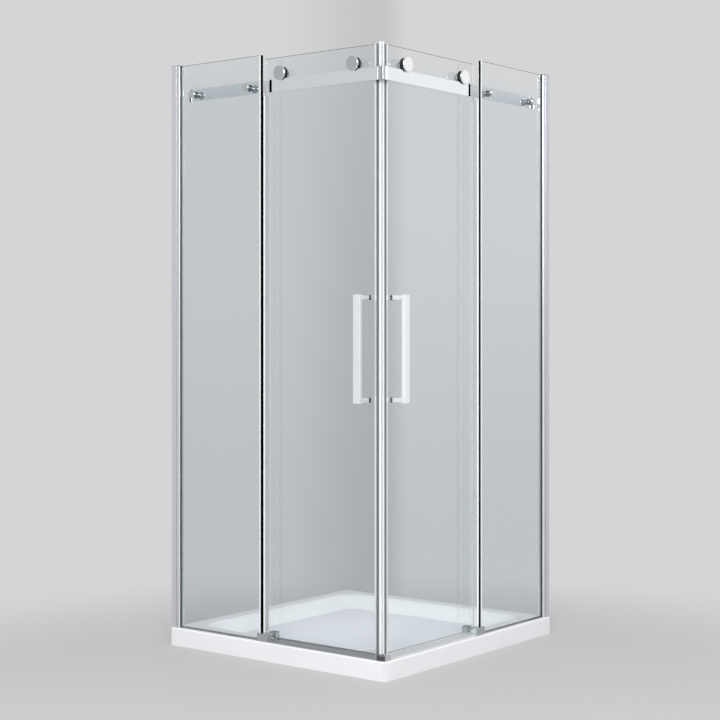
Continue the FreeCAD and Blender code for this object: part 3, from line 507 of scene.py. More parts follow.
def addLathe(bm, place, profile, a, z, ring=False, steps=48, material=0):
    # profile of (d, radius), turned about the line inward through (a, z)
    rings = []
    for d, radius in profile:
        rings.append([bm.verts.new(place(a + x, d, z + y)) for x, y in circlePoints(radius, steps)])
    bridgeAll(bm, rings, material)
    if ring:
        bridge(bm, rings[-1], rings[0], material)


def threaded(start, end, radius, pitch, depth):
    # the profile of a thread, as small ridges between two depths
    turns = int(abs(end - start) / pitch)
    profile = []
    for turn in range(turns):
        root = start + (end - start) * turn / turns
        crest = start + (end - start) * (turn + 0.5) / turns
        profile += [(root, radius - depth), (crest, radius)]
    return profile + [(end, radius - depth)]


def addObject(name, data):
    thing = bpy.data.objects.new(name, data)
    bpy.context.collection.objects.link(thing)
    return thing


def meshObject(name, bm, *looks):
    bmesh.ops.remove_doubles(bm, verts=bm.verts, dist=meshLook["weld"])
    bmesh.ops.recalc_face_normals(bm, faces=bm.faces)
    mesh = bpy.data.meshes.new(name)
    bm.to_mesh(mesh)
    bm.free()
    for look in looks:
        mesh.materials.append(finish[look])
    return addObject(name, mesh)


def smooth(piece, degrees=meshLook["sharpAngle"]):
    piece.data.shade_smooth()
    piece.data.set_sharp_from_angle(angle=math.radians(degrees))


def soften(piece, width, segments):
    # rolls every sharp edge by a width in millimetres
    bevel = piece.modifiers.new("soften", "BEVEL")
    bevel.width = width * mm
    bevel.segments = segments
    bevel.limit_method = "ANGLE"
    bevel.angle_limit = math.radians(meshLook["rollAngle"])
    bevel.harden_normals = True


def install(piece, body, slot, *replaced, edge=0.0, steps=3):
    smooth(piece)
    if edge:
        soften(piece, edge, steps)
    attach(piece, body)
    if replaced:
        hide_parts(*replaced)


# trees of Geometry Nodes

class GeometryTree(NodeTree):
    def __init__(self, name, **sizes):
        tree = bpy.data.node_groups.new(name, "GeometryNodeTree")
        super().__init__(tree)
        tree.interface.new_socket("Geometry", in_out="INPUT", socket_type="NodeSocketGeometry")
        for label, kind in sizes.items():
            tree.interface.new_socket(label, in_out="INPUT", socket_type="NodeSocket" + kind)
        tree.interface.new_socket("Geometry", in_out="OUTPUT", socket_type="NodeSocketGeometry")
        self.inputs = self.add("NodeGroupInput").outputs

    def turned(self):
        # the turn that lays z along a point's stored direction
        facing = self.add("GeometryNodeInputNamedAttribute", {"Name": "facing"}, data_type="FLOAT_VECTOR")
        return self.add("FunctionNodeAlignRotationToVector", {"Vector": facing.outputs[0]}, axis="Z").outputs[0]

    def spread(self, points, instance, **values):
        values = {"Points": points, "Instance": instance, **values}
        return self.add("GeometryNodeInstanceOnPoints", values).outputs[0]

    def realize(self, geometry):
        return self.add("GeometryNodeRealizeInstances", {0: geometry}).outputs[0]

    def close(self, geometry):
        # realized, given its finish and handed out
        values = {"Geometry": self.realize(geometry), "Material": self.inputs["Finish"]}
        self.add("NodeGroupOutput", {0: self.add("GeometryNodeSetMaterial", values).outputs[0]})
        return self.tree


def runTree(name, bm, tree, **values):
    # the modifier's inputs are set first, then its result becomes a plain mesh
    holder = meshObject(name + "_places", bm)
    modifier = holder.modifiers.new("grow", "NODES")
    modifier.node_group = tree
    sockets = {item.name: item.identifier for item in tree.interface.items_tree if item.in_out == "INPUT"}
    for label, value in values.items():
        modifier[sockets[label]] = value
    grown = holder.evaluated_get(bpy.context.evaluated_depsgraph_get())
    mesh = bpy.data.meshes.new_from_object(grown)
    mesh.name = name
    holder.modifiers.remove(modifier)
    bpy.data.objects.remove(holder)
    return addObject(name, mesh)


def fastenerTree():
    # one fastener on every point, facing along the point's stored direction, rolled at random
    t = GeometryTree("fastenerRow", Fastener="Object", Size="Float", Seed="Int", Finish="Material")
    roll = t.add("FunctionNodeRandomValue", {3: 2 * math.pi, "Seed": t.inputs["Seed"]}, data_type="FLOAT")
    about = t.add("FunctionNodeAxisAngleToRotation", {"Axis": (0, 0, 1), "Angle": roll.outputs[1]})
    turns = {"Rotation": t.turned(), "Rotate By": about.outputs[0]}
    turn = t.add("FunctionNodeRotateRotation", turns, rotation_space="LOCAL")
    fastener = t.add("GeometryNodeObjectInfo", {"Object": t.inputs["Fastener"]}).outputs["Geometry"]
    return t.close(t.spread(t.inputs["Geometry"], fastener, Rotation=turn.outputs[0], Scale=t.inputs["Size"]))


def ballTree():
    # a ring of balls round every point, in the plane across the stored direction
    t = GeometryTree("ballRing", Balls="Int", PitchRadius="Float", BallRadius="Float", Finish="Material")
    circle = t.add("GeometryNodeMeshCircle", {"Vertices": t.inputs["Balls"], "Radius": t.inputs["PitchRadius"]})
    rings = t.spread(t.inputs["Geometry"], circle.outputs[0], Rotation=t.turned())
    ball = t.add("GeometryNodeMeshIcoSphere", {"Subdivisions": 3, "Radius": t.inputs["BallRadius"]})
    return t.close(t.spread(t.realize(rings), ball.outputs["Mesh"]))


def profileTree():
    # a drawn section, filled and pushed up into a closed extrusion
    t = GeometryTree("drawnProfile", Base="Float", Rise="Float", Finish="Material")
    curve = t.add("GeometryNodeMeshToCurve", {0: t.inputs["Geometry"]})
    fill = t.add("GeometryNodeFillCurve", {"Curve": curve.outputs[0]}, mode="NGONS")
    lifted = {"Geometry": fill.outputs[0], "Offset": t.vector(Z=t.inputs["Base"])}
    sheet = t.add("GeometryNodeSetPosition", lifted).outputs[0]
    pushed = {"Individual": False, "Mesh": sheet, "Offset": t.vector(Z=t.inputs["Rise"]), "Offset Scale": 1.0}
    push = t.add("GeometryNodeExtrudeMesh", pushed)
    under = t.add("GeometryNodeFlipFaces", {0: sheet})
    both = t.add("GeometryNodeJoinGeometry")
    for part in (push.outputs["Mesh"], under.outputs[0]):
        t.set(both.inputs[0], part)
    weld = t.add("GeometryNodeMergeByDistance", {0: both.outputs[0], "Distance": 1e-6})
    return t.close(weld.outputs[0])


def ribTree():
    # crossed rows of ribs under the tray
    t = GeometryTree("ribGrid", Ribs="Int", Pitch="Float", Thickness="Float", Span="Float", Height="Float",
                     Finish="Material")
    rows = t.add("GeometryNodeJoinGeometry")
    halfPitch = t.math("MULTIPLY", t.inputs["Pitch"], 0.5)
    reach = t.math("MULTIPLY", t.math("SUBTRACT", t.inputs["Ribs"], 1.0), halfPitch)
    lift = t.math("MULTIPLY", t.inputs["Height"], 0.5)
    for axis, across, along in (("X", "Thickness", "Span"), ("Y", "Span", "Thickness")):
        start = t.vector(**{axis: t.math("MULTIPLY", reach, -1.0), "Z": lift})
        step = t.vector(**{axis: t.inputs["Pitch"]})
        row = t.add("GeometryNodeMeshLine", {"Count": t.inputs["Ribs"], "Start Location": start, "Offset": step})
        size = t.vector(X=t.inputs[across], Y=t.inputs[along], Z=t.inputs["Height"])
        rib = t.add("GeometryNodeMeshCube", {"Size": size})
        t.set(rows.inputs[0], t.spread(row.outputs[0], rib.outputs["Mesh"]))
    return t.close(rows.outputs[0])


trees = {"fastener": fastenerTree(), "ball": ballTree(), "profile": profileTree(), "rib": ribTree()}
print("node trees built:", len(trees))


def points(places):
    # loose points with the direction that each one faces
    bm = bmesh.new()
    layer = bm.verts.layers.float_vector.new("facing")
    for place, facing in places:
        bm.verts.new(place)[layer] = facing
    return bm


# fasteners that are set out in rows, each built at the origin along its own z

fastenerLook = {
    # head radius, head height, shank radius, shank length, thread pitch, drive radius, drive depth
    "sideScrew": (3.6, 2.0, 1.75, 9.0, 1.0, 1.8, 1.0),
    "armScrew": (3.45, 0.0, 1.70, 11.5, 1.0, 1.8, 1.0),
    "grub": (2.45, 0.0, 2.45, 2.1, 0.5, 1.3, 1.1),
    "guideGrub": (2.45, 0.0, 2.45, 7.4, 0.5, 1.3, 1.6),
    "railBolt": (5.45, 0.0, 2.95, 16.0, 0.8, 2.0, 2.5),
}
fastenerShape = {
    "steps": 24, "driveRim": 1.25, "headCurve": ((0.97, 0.62), (0.72, 0.9), (0.35, 1.0)),
    "plainEnd": (0.88, 0.3), "threadStart": 0.4, "threadEnd": 0.5, "threadShare": 0.14, "tip": 0.6,
    "crossArm": 0.97, "crossWaist": 0.36,
}
fastenerSeeds = {
    "profile_screw_row": 3, "rail_bolt_row": 5, "rail_grub_row": 7, "guide_screw_row": 11, "guide_grub_row": 13,
}


def fastenerProfile(name):
    # (height, radius) from the middle of the head down to the tip; a head height of 0 is countersunk
    s = fastenerShape
    head, rise, shank, length, pitch, drive, _ = fastenerLook[name]
    top = [(rise, drive * s["driveRim"])]
    if rise:
        top += [(rise * up, head * out) for up, out in s["headCurve"]] + [(0.0, head), (0.0, shank)]
    elif head > shank:
        top += [(0.0, head), (-(head - shank), shank)]
    else:
        share, drop = s["plainEnd"]
        top += [(0.0, shank * share), (-drop, shank)]
    start = top[-1][0] - s["threadStart"]
    thread = threaded(start, -length + s["threadEnd"], shank, pitch, s["threadShare"] * pitch)
    return top + thread + [(-length, shank * s["tip"]), (-length, 0.0)]


def driveRadius(t, drive, cross):
    # a cross or a hexagon
    if cross:
        reach = max(abs(math.cos(t)), abs(math.sin(t)))
        return drive if reach > fastenerShape["crossArm"] else drive * fastenerShape["crossWaist"]
    return drive * math.cos(math.pi / 6) / math.cos((t % (math.pi / 3)) - math.pi / 6)


def makeFastener(name):
    _, rise, _, _, _, drive, driveDepth = fastenerLook[name]
    steps = fastenerShape["steps"]
    bm = bmesh.new()
    rings = []
    for height, radius in fastenerProfile(name):
        rings.append([bm.verts.new(Vector((x, y, height)) * mm) for x, y in circlePoints(radius, steps)])
    # the drive is cut down from the top ring
    angles = [2 * math.pi * step / steps for step in range(steps)]
    reaches = [driveRadius(t, drive, name.endswith("Screw")) for t in angles]
    for depth in (0.0, driveDepth):
        ring = [(reach * math.cos(t), reach * math.sin(t), rise - depth) for reach, t in zip(reaches, angles)]
        rings.insert(0, [bm.verts.new(Vector(point) * mm) for point in ring])
    rings.insert(0, [bm.verts.new((0, 0, (rise - driveDepth) * mm))])
    bridgeAll(bm, rings)
    fastener = meshObject(name, bm)
    smooth(fastener)
    return fastener


def setFasteners(name, kind, places, *replaced):
    # places are (side, a, d, z, facing)
    spots = [(placeOn(side)(a, d, z), facing) for side, a, d, z, facing in places]
    row = runTree(name, points(spots), trees["fastener"], Fastener=fasteners[kind], Size=1.0,
                  Seed=fastenerSeeds[name], Finish=finish["plainSteel"])
    install(row, "enclosure", "steel", *replaced)


fasteners = {name: makeFastener(name) for name in fastenerLook}


# shower tray

trayShape = {
    "height": 57.0, "nearRadius": 18.0, "wallRadius": 8.0, "topRound": 4.0,
    "rimFront": 80.0, "rimWall": 52.0, "slope": 80.0, "slopeBlend": 0.55, "basinDepth": 35.0,
    "basinRadius": 75.0, "floorRadius": 40.0, "wall": 12.0, "waste": (225.0, -225.0),
    "ledgeRadius": 58.0, "dishRadius": 66.0, "dish": 1.5, "ledge": 4.0, "bore": 45.0, "boss": 76.0,
    "ledgeEdge": (1.0, 0.4),  # outward and down
    "slopeSteps": 20, "cornerSteps": 14, "sideSteps": 20, "topSteps": 6, "wasteSteps": 96,
    "ribs": 5, "ribThickness": 8.0, "ribHeight": 11.0, "ribSink": 1.0, "smoothAngle": 30,
}


def trayRing(bm, inset, radii, z, edges):
    # rounded square; edges are how far each side stands in: +x, +y, -x, -y
    size = half / mm
    xHigh, yHigh = size - edges[0] - inset, size - edges[1] - inset
    xLow, yLow = -size + edges[2] + inset, -size + edges[3] + inset
    corners = [(xHigh, yLow, -90), (xHigh, yHigh, 0), (xLow, yHigh, 90), (xLow, yLow, 180)]
    steps = trayShape["cornerSteps"]
    ring = []
    for index, (x, y, turn) in enumerate(corners):
        radius = max(radii[index], 0.01)
        x += -radius if x > 0 else radius
        y += -radius if y > 0 else radius
        angles = [math.radians(turn + 90 * step / steps) for step in range(steps + 1)]
        arc = [(x + radius * math.cos(angle), y + radius * math.sin(angle)) for angle in angles]
        if ring:
            ring += between(ring[-1], arc[0])
        ring += arc
    ring += between(ring[-1], ring[0])
    return [bm.verts.new((x * mm, y * mm, z * mm)) for x, y in ring]


def between(first, second):
    steps = trayShape["sideSteps"]
    return [tuple(a + (b - a) * step / steps for a, b in zip(first, second)) for step in range(1, steps)]


def ringRound(bm, middle, radius, z, steps):
    x, y = middle
    return [bm.verts.new(((x + u) * mm, (y + v) * mm, z * mm)) for u, v in circlePoints(radius, steps)]


def wasteRing(bm, radius, z):
    return ringRound(bm, trayShape["waste"], radius, z, trayShape["wasteSteps"])


def fillBetween(bm, outer, inner):
    # a flat sheet with a round hole
    edges = []
    for ring in (outer, inner):
        for index, vert in enumerate(ring):
            pair = (vert, ring[(index + 1) % len(ring)])
            edges.append(bm.edges.get(pair) or bm.edges.new(pair))
    bmesh.ops.triangle_fill(bm, use_beauty=True, edges=edges)


def roundOver(top, size, steps):
    # how far in and how high each step of a rounded top edge is
    angles = [math.radians(90 * step / steps) for step in range(steps + 1)]
    return [(size * (1 - math.cos(angle)), top - size * (1 - math.sin(angle))) for angle in angles]


def basinRings(bm, top):
    s = trayShape
    rimEdges = (s["rimFront"], s["rimWall"], s["rimWall"], s["rimFront"])
    rings = []
    for step in range(s["slopeSteps"] + 1):
        t = step / s["slopeSteps"]
        fall = s["basinDepth"] * ((1 - s["slopeBlend"]) * t + s["slopeBlend"] * t * t * (3 - 2 * t))
        radius = s["basinRadius"] + (s["floorRadius"] - s["basinRadius"]) * t
        rings.append(trayRing(bm, s["slope"] * t, [radius] * 4, top - fall, rimEdges))
    return rings


def makeTray():
    s = trayShape
    bm = bmesh.new()
    flush = (0, 0, 0, 0)
    corners = [s["nearRadius"]] + [s["wallRadius"]] * 3
    outside = [trayRing(bm, 0, corners, 0.0, flush)]
    for inset, z in roundOver(s["height"], s["topRound"], s["topSteps"]):
        outside.append(trayRing(bm, inset, [radius - inset for radius in corners], z, flush))
    outside += basinRings(bm, s["height"])
    floor = s["height"] - s["basinDepth"]
    out, down = s["ledgeEdge"]
    dish = floor - s["dish"]
    ledge = dish - s["ledge"]
    levels = [(s["dishRadius"], floor), (s["ledgeRadius"] + out, dish), (s["ledgeRadius"], dish - down)]
    levels += [(s["ledgeRadius"], ledge), (s["bore"], ledge), (s["bore"], 0.0), (s["boss"], 0.0)]
    well = [wasteRing(bm, radius, z) for radius, z in levels]
    roof = s["height"] - s["wall"]
    inside = [max(radius - s["wall"], 0) for radius in corners]
    under = [trayRing(bm, s["wall"], inside, z, flush) for z in (0.0, roof)]
    under += basinRings(bm, roof)
    well.append(wasteRing(bm, s["boss"], floor - s["wall"]))
    for rings in (outside, well, under):
        bridgeAll(bm, rings)
    bridge(bm, outside[0], under[0])
    fillBetween(bm, outside[-1], well[0])
    fillBetween(bm, under[-1], well[-1])
    tray = meshObject("tray_shell", bm, "trayWhite")
    install(tray, "enclosure", "tray_white", "shower_tray")
    smooth(tray, s["smoothAngle"])
    inner = 2 * (half / mm - s["wall"])
    ribs = runTree("tray_ribs", points([((0, 0, 0), (0, 0, 1))]), trees["rib"], Ribs=s["ribs"],
                   Pitch=inner / (s["ribs"] + 1) * mm, Thickness=s["ribThickness"] * mm,
                   Span=(inner + 2 * s["ribSink"]) * mm, Height=s["ribHeight"] * mm, Finish=finish["trayWhite"])
    install(ribs, "enclosure", "tray_white")


coverShape = {
    "radius": 56.0, "low": 17.7, "high": 20.7, "round": 1.8, "roundSteps": 5, "lowEdge": 0.4,
    "feet": 6, "footPlace": 50.5, "footRadius": 2.5, "footLow": 16.5, "footSink": 0.6, "footSteps": 16,
}


def makeCover():
    s = coverShape
    x, y = trayShape["waste"]
    bm = bmesh.new()
    rings = [[bm.verts.new((x * mm, y * mm, s["low"] * mm))]]
    rings.append(wasteRing(bm, s["radius"] - s["lowEdge"], s["low"]))
    rings.append(wasteRing(bm, s["radius"], s["low"] + s["lowEdge"]))
    for inset, z in roundOver(s["high"], s["round"], s["roundSteps"]):
        rings.append(wasteRing(bm, s["radius"] - inset, z))
    rings.append([bm.verts.new((x * mm, y * mm, s["high"] * mm))])
    bridgeAll(bm, rings)
    for index in range(s["feet"]):
        turn = 2 * math.pi * index / s["feet"]
        foot = (x + s["footPlace"] * math.cos(turn), y + s["footPlace"] * math.sin(turn))
        levels = (s["footLow"], s["low"] + s["footSink"])
        rings = [ringRound(bm, foot, s["footRadius"], z, s["footSteps"]) for z in levels]
        bridgeAll(bm, rings)
        for ring in rings:
            bm.faces.new(ring)
    install(meshObject("waste_cover_plate", bm, "trayWhite"), "enclosure", "tray_white", "waste_cover")


makeTray()
makeCover()
print("tray and waste cover built")


# upright aluminium: sections of (a, d) and their levels

profileShape = {
    "top": 1893.5, "bottom": 57.0, "front": 866.0, "lips": 874.0, "web": 880.0, "back": 889.0,
    "middle": 21.0, "side": 13.2, "slot": 6.2, "wall": 1.4, "cornerRound": 0.35, "nose": 2.6, "noseTurn": 0.3,
    "edgeStart": 78.0, "edgeEnd": 89.0, "edgeFace": 60.4, "edgeBack": 71.6, "neckSlot": 2.5, "neckDepth": 1.0,
    "glassFace": 62.0, "glassBack": 70.0, "glassFront": 80.0, "edgeBottom": 62.0, "edgeTop": 1889.0,
    "bead": [(77.7, 60.1), (82.0, 60.1), (82.0, 60.5), (78.1, 60.5), (78.1, 63.4), (77.7, 63.4)],
    "beadRound": 0.1,
}


def adjustingSection():
    s = profileShape
    inner = s["side"] - s["wall"]
    web = s["web"] + s["wall"]
    front = s["front"] + s["wall"]
    lip = s["slot"] + s["wall"]
    nose, turn = s["nose"], s["nose"] * s["noseTurn"]
    outline = [(s["front"], s["slot"]), (s["front"], s["side"] - nose), (s["front"] + turn, s["side"] - turn)]
    outline += [(s["front"] + nose, s["side"]), (s["back"], s["side"]), (s["back"], inner), (web, inner)]
    outline += [(a, -d) for a, d in reversed(outline)]
    outline += [(s["lips"], -s["slot"]), (s["lips"], -lip), (front, -lip), (front, -inner), (s["web"], -inner)]
    outline += [(s["web"], inner), (front, inner), (front, lip), (s["lips"], lip), (s["lips"], s["slot"])]
    return rounded([(a, s["middle"] + d) for a, d in outline], s["cornerRound"])


def edgeSection():
    s = profileShape
    start, end = s["edgeStart"], s["edgeEnd"]
    face, back = s["glassFace"], s["glassBack"]
    middle = (face + back) / 2
    near, far, deep = middle - s["neckSlot"], middle + s["neckSlot"], start + s["neckDepth"]
    outline = [(start, s["edgeFace"]), (end, s["edgeFace"]), (end, face), (s["glassFront"], face)]
    outline += [(s["glassFront"], back), (end, back), (end, s["edgeBack"]), (start, s["edgeBack"])]
    outline += [(start, far), (deep, far), (deep, near), (start, near)]
    return rounded(outline, s["cornerRound"])


def drawProfile(name, side, section, bottom, top, look):
    # the section is laid out flat as a loop of edges, and the node tree pushes it up
    place = placeOn(side)
    bm = bmesh.new()
    ring = [bm.verts.new(place(a, d, 0)) for a, d in section]
    for index, vert in enumerate(ring):
        bm.edges.new((vert, ring[(index + 1) % len(ring)]))
    piece = runTree(name + "_" + side, bm, trees["profile"], Base=bottom * mm, Rise=(top - bottom) * mm,
                    Finish=finish[look])
    turned = bmesh.new()
    turned.from_mesh(piece.data)
    bmesh.ops.recalc_face_normals(turned, faces=turned.faces)
    turned.to_mesh(piece.data)
    turned.free()
    return piece


def makeProfiles(side):
    s = profileShape
    low, high = s["edgeBottom"], s["edgeTop"]
    adjusting = drawProfile("adjusting_profile_drawn", side, adjustingSection(), s["bottom"], s["top"],
                            "adjusting" + side)
    install(adjusting, "enclosure", "wall_aluminium", "adjusting_profile_" + side)
    edge = drawProfile("edge_profile_drawn", side, edgeSection(), low, high, "profilePolish")
    install(edge, "door_" + side, "bright_aluminium", "edge_profile_" + side)
    bead = drawProfile("edge_bead_drawn", side, rounded(s["bead"], s["beadRound"]), low, high, "stripGasket")
    install(bead, "door_" + side, "dark_gasket")


sideScrewPlace = {"a": 885.2, "seat": 36.0, "levels": (185.0, 975.0, 1765.0)}
capShape = {
    "lid": ((865.6, 5.6, 1893.5), (900.0, 36.4, 1895.0)), "peg": ((881.9, 10.5, 1885.5), (889.0, 31.5, 1894.0)),
    "edge": 0.6,
}


def makeProfileCaps():
    s = capShape
    bm = bmesh.new()
    for side in sides:
        addBlock(bm, placeOn(side), *s["lid"])
        addBlock(bm, placeOn(side), *s["peg"])
    caps = meshObject("profile_cap_lids", bm, "capGrey")
    install(caps, "enclosure", "grey_plastic", "profile_caps", edge=s["edge"])


for side in sides:
    makeProfiles(side)
screwPlaces = [(side, sideScrewPlace["a"], sideScrewPlace["seat"], z, inwardOf(side))
               for side in sides for z in sideScrewPlace["levels"]]
setFasteners("profile_screw_row", "sideScrew", screwPlaces, "profile_screws")
makeProfileCaps()
print("wall profiles built")


# rail, its corner block and what holds it

railShape = {
    "face": 41.0, "back": 51.0, "low": 1777.0, "high": 1817.0, "start": 60.5, "end": 854.0,
    "endRound": 3.0, "endSteps": 5, "edge": 0.7,
    "cornerBevel": 3.0, "cornerFit": 0.15, "cornerEdge": 0.35,
    "tenonDepth": (43.5, 48.5), "tenonReach": (-1.0, 15.0), "tenonHeight": 11.0,
    # places of the dark lines, how far they stand out and in, and how far they stop from the ends
    "cornerLines": ((48.0, 50.2), (45.6, 47.6)), "lineDepth": (0.1, 0.4), "lineEnd": 0.8,
}


def makeRail(side):
    s = railShape
    corners = [(s["start"], s["low"]), (s["end"], s["low"]), (s["end"], s["high"]), (s["start"], s["high"])]
    bm = bmesh.new()
    addExtrusion(bm, placeOn(side), roundedAt(corners, s["endRound"], s["endSteps"], 1, 2), "d", s["face"], s["back"])
    rail = meshObject("rail_bar_" + side, bm, "railPolish")
    install(rail, "enclosure", "chrome", "rail_" + side, edge=s["edge"])


def swapped(point):
    # the same place on the other side of the corner
    return (point[1], point[0], point[2])


def makeRailCorner():
    # an L seen from above, with the tenons that reach into both rails
    s = railShape
    a, b, c = s["face"], s["back"], s["start"] - s["cornerFit"]
    cut = s["cornerBevel"]
    place = placeOn("right")
    outline = [(a + cut, a), (c, a), (c, b), (b, b), (b, c), (a, c), (a, a + cut)]
    block = bmesh.new()
    addExtrusion(block, place, outline, "z", s["low"], s["high"])
    middle = (s["low"] + s["high"]) / 2
    reaches = [(c + reach, depth, middle + lift) for reach, depth, lift in
               zip(s["tenonReach"], s["tenonDepth"], (-s["tenonHeight"], s["tenonHeight"]))]
    addBlock(block, place, *reaches)
    addBlock(block, place, *[swapped(point) for point in reaches])
    corner = meshObject("rail_corner_block", block, "railCorner")
    install(corner, "enclosure", "chrome", "rail_corner", edge=s["cornerEdge"])
    # the dark lines where the corner piece turns
    lines = bmesh.new()
    (near, far), (otherNear, otherFar) = s["cornerLines"]
    out, inn = a - s["lineDepth"][0], a + s["lineDepth"][1]
    low, high = s["low"] + s["lineEnd"], s["high"] - s["lineEnd"]
    addBlock(lines, place, (near, out, low), (far, inn, high))
    addBlock(lines, place, (out, otherNear, low), (inn, otherFar, high))
    install(meshObject("rail_corner_lines", lines, "edgeShade"), "enclosure", "dark_gasket")


standoffShape = {
    "places": (578.0, 818.0), "glassFace": 17.0, "glassBack": 25.0, "gasket": 1.0, "round": 0.35,
    "capFace": 13.0, "capRadius": 13.0, "capEdge": (1.0, 0.8), "stud": 4.0, "studStart": 0.3, "studEnd": (5.6, 6.0),
    "studTip": 0.5, "threadPitch": 0.8, "threadDepth": 0.12,
    "barrel": 8.0, "barrelBore": 4.1, "boreEnd": 32.4, "neck": 6.2, "neckLength": 2.0,
    "flange": 11.0, "flangeFrom": 39.0, "flangeTo": 41.0, "boltBore": 3.1, "boltBoreEnd": 34.5,
    "washer": (12.0, 6.9), "washerEnd": 24.8, "rearWasher": 9.0, "washerRound": 0.2, "washerSteps": 32,
}
railScrews = {"grubInset": 8.0, "grubSink": 0.4, "grubLevels": (-6, 6)}


def standoffProfiles():
    s = standoffShape
    seat, rear, bore = s["glassFace"] - s["gasket"], s["glassBack"] + s["gasket"], s["barrelBore"]
    bevelDepth, bevelRim = s["capEdge"]
    cap = [(s["capFace"], 0.0), (s["capFace"], s["capRadius"] - bevelRim), (s["capFace"] + bevelDepth, s["capRadius"])]
    cap = rounded(cap + [(seat, s["capRadius"]), (seat, s["stud"])], s["round"], 3, False)
    threadEnd, tipEnd = (rear + reach for reach in s["studEnd"])
    cap += threaded(seat + s["studStart"], threadEnd, s["stud"], s["threadPitch"], s["threadDepth"])
    cap += [(tipEnd, s["stud"] - s["studTip"]), (tipEnd, 0.0)]
    neckEnd = rear + s["neckLength"]
    barrel = [(s["boreEnd"], bore), (rear, bore), (rear, s["neck"]), (neckEnd, s["neck"]), (neckEnd, s["barrel"])]
    barrel += [(s["flangeFrom"], s["barrel"]), (s["flangeFrom"], s["flange"]), (s["flangeTo"], s["flange"])]
    barrel = rounded(barrel + [(s["flangeTo"], s["boltBore"])], s["round"], 3, False)
    barrel = [(s["boreEnd"], 0.0)] + barrel + [(s["boltBoreEnd"], s["boltBore"]), (s["boltBoreEnd"], 0.0)]
    wide, sleeve = s["washer"]
    front = [(seat, bore), (seat, wide), (s["glassFace"], wide), (s["glassFace"], sleeve)]
    front += [(s["washerEnd"], sleeve), (s["washerEnd"], bore)]
    behind = [(s["glassBack"], bore), (s["glassBack"], s["rearWasher"]), (rear, s["rearWasher"]), (rear, bore)]
    return cap, barrel, (front, rounded(behind, s["washerRound"]))


def makeStandoffs():
    s = standoffShape
    middle = (railShape["low"] + railShape["high"]) / 2
    caps, barrels, gaskets = bmesh.new(), bmesh.new(), bmesh.new()
    cap, barrel, washers = standoffProfiles()
    for side in sides:
        for a in s["places"]:
            addLathe(caps, placeOn(side), cap, a, middle)
            addLathe(barrels, placeOn(side), barrel, a, middle)
            for washer in washers:
                addLathe(gaskets, placeOn(side), washer, a, middle, True, s["washerSteps"])
    install(meshObject("standoff_cap_set", caps, "standoffChrome"), "enclosure", "chrome", "standoff_caps")
    install(meshObject("standoff_barrel_set", barrels, "barrelChromePaintedShade"), "enclosure", "chrome", "standoff_barrels")
    install(meshObject("standoff_washer_set", gaskets, "clearWasher"), "enclosure", "clear_seal", "standoff_gaskets")
    bolts = [(side, a, railShape["back"], middle, inwardOf(side)) for side in sides for a in s["places"]]
    setFasteners("rail_bolt_row", "railBolt", bolts, "rail_bolts")
    a, d = railShape["start"] + railScrews["grubInset"], railShape["back"] - railScrews["grubSink"]
    grubs = [(side, a, d, middle + lift, inwardOf(side)) for side in sides for lift in railScrews["grubLevels"]]
    setFasteners("rail_grub_row", "grub", grubs, "rail_grub_screws")


stopShape = {"a": (826.5, 838.4), "wall": 1.5, "leg": 8.0, "height": 8.0, "bevel": 2.0, "fit": 0.05, "edge": 0.4}


def makeRailStops():
    s = stopShape
    face, back, top = railShape["face"], railShape["back"], railShape["high"]
    low, high, bevel = top - s["leg"], top + s["height"], s["bevel"]
    out, inn = face - s["wall"], back + s["wall"]
    near, far, roof = face - s["fit"], back + s["fit"], top + s["fit"]
    section = [(out, low), (near, low), (near, roof), (far, roof), (far, low), (inn, low)]
    section += [(inn, high - bevel), (inn - bevel, high), (out + bevel, high), (out, high - bevel)]
    bm = bmesh.new()
    for side in sides:
        addExtrusion(bm, placeOn(side), section, "a", *s["a"])
    stops = meshObject("rail_stop_saddles", bm, "clearWasher")
    install(stops, "enclosure", "grey_plastic", "rail_stops", edge=s["edge"])


for side in sides:
    makeRail(side)
makeRailCorner()
makeStandoffs()
makeRailStops()
print("rail built")


# bottom guides and the threshold

guideShape = {
    "a": (477.0, 522.0), "d": (9.0, 33.0), "z": (57.0, 82.0), "round": 2.0, "roundSteps": 4, "edge": 0.5,
    "glass": (511.8, 16.8, 25.2), "floor": (0.3, 0.4, 3.0),
    "arm": (485.0, 514.0), "armTop": 61.0, "armSink": 1.0, "armShort": 0.4, "rib": (494.5, 504.5, 71.0), "ribSink": 0.6,
    "cheeks": ((55.5, 59.7), (72.3, 76.5)), "cheekTop": 81.0, "cheekRound": 3.0, "cheekLift": 0.4,
    "liners": ((59.7, 61.7), (70.3, 72.3)), "linerTop": 78.0,
    "screws": (490.0, 509.0), "screwInward": 44.25, "screwLift": 0.02, "grub": (517.0, 69.5), "grubSink": 0.4,
}


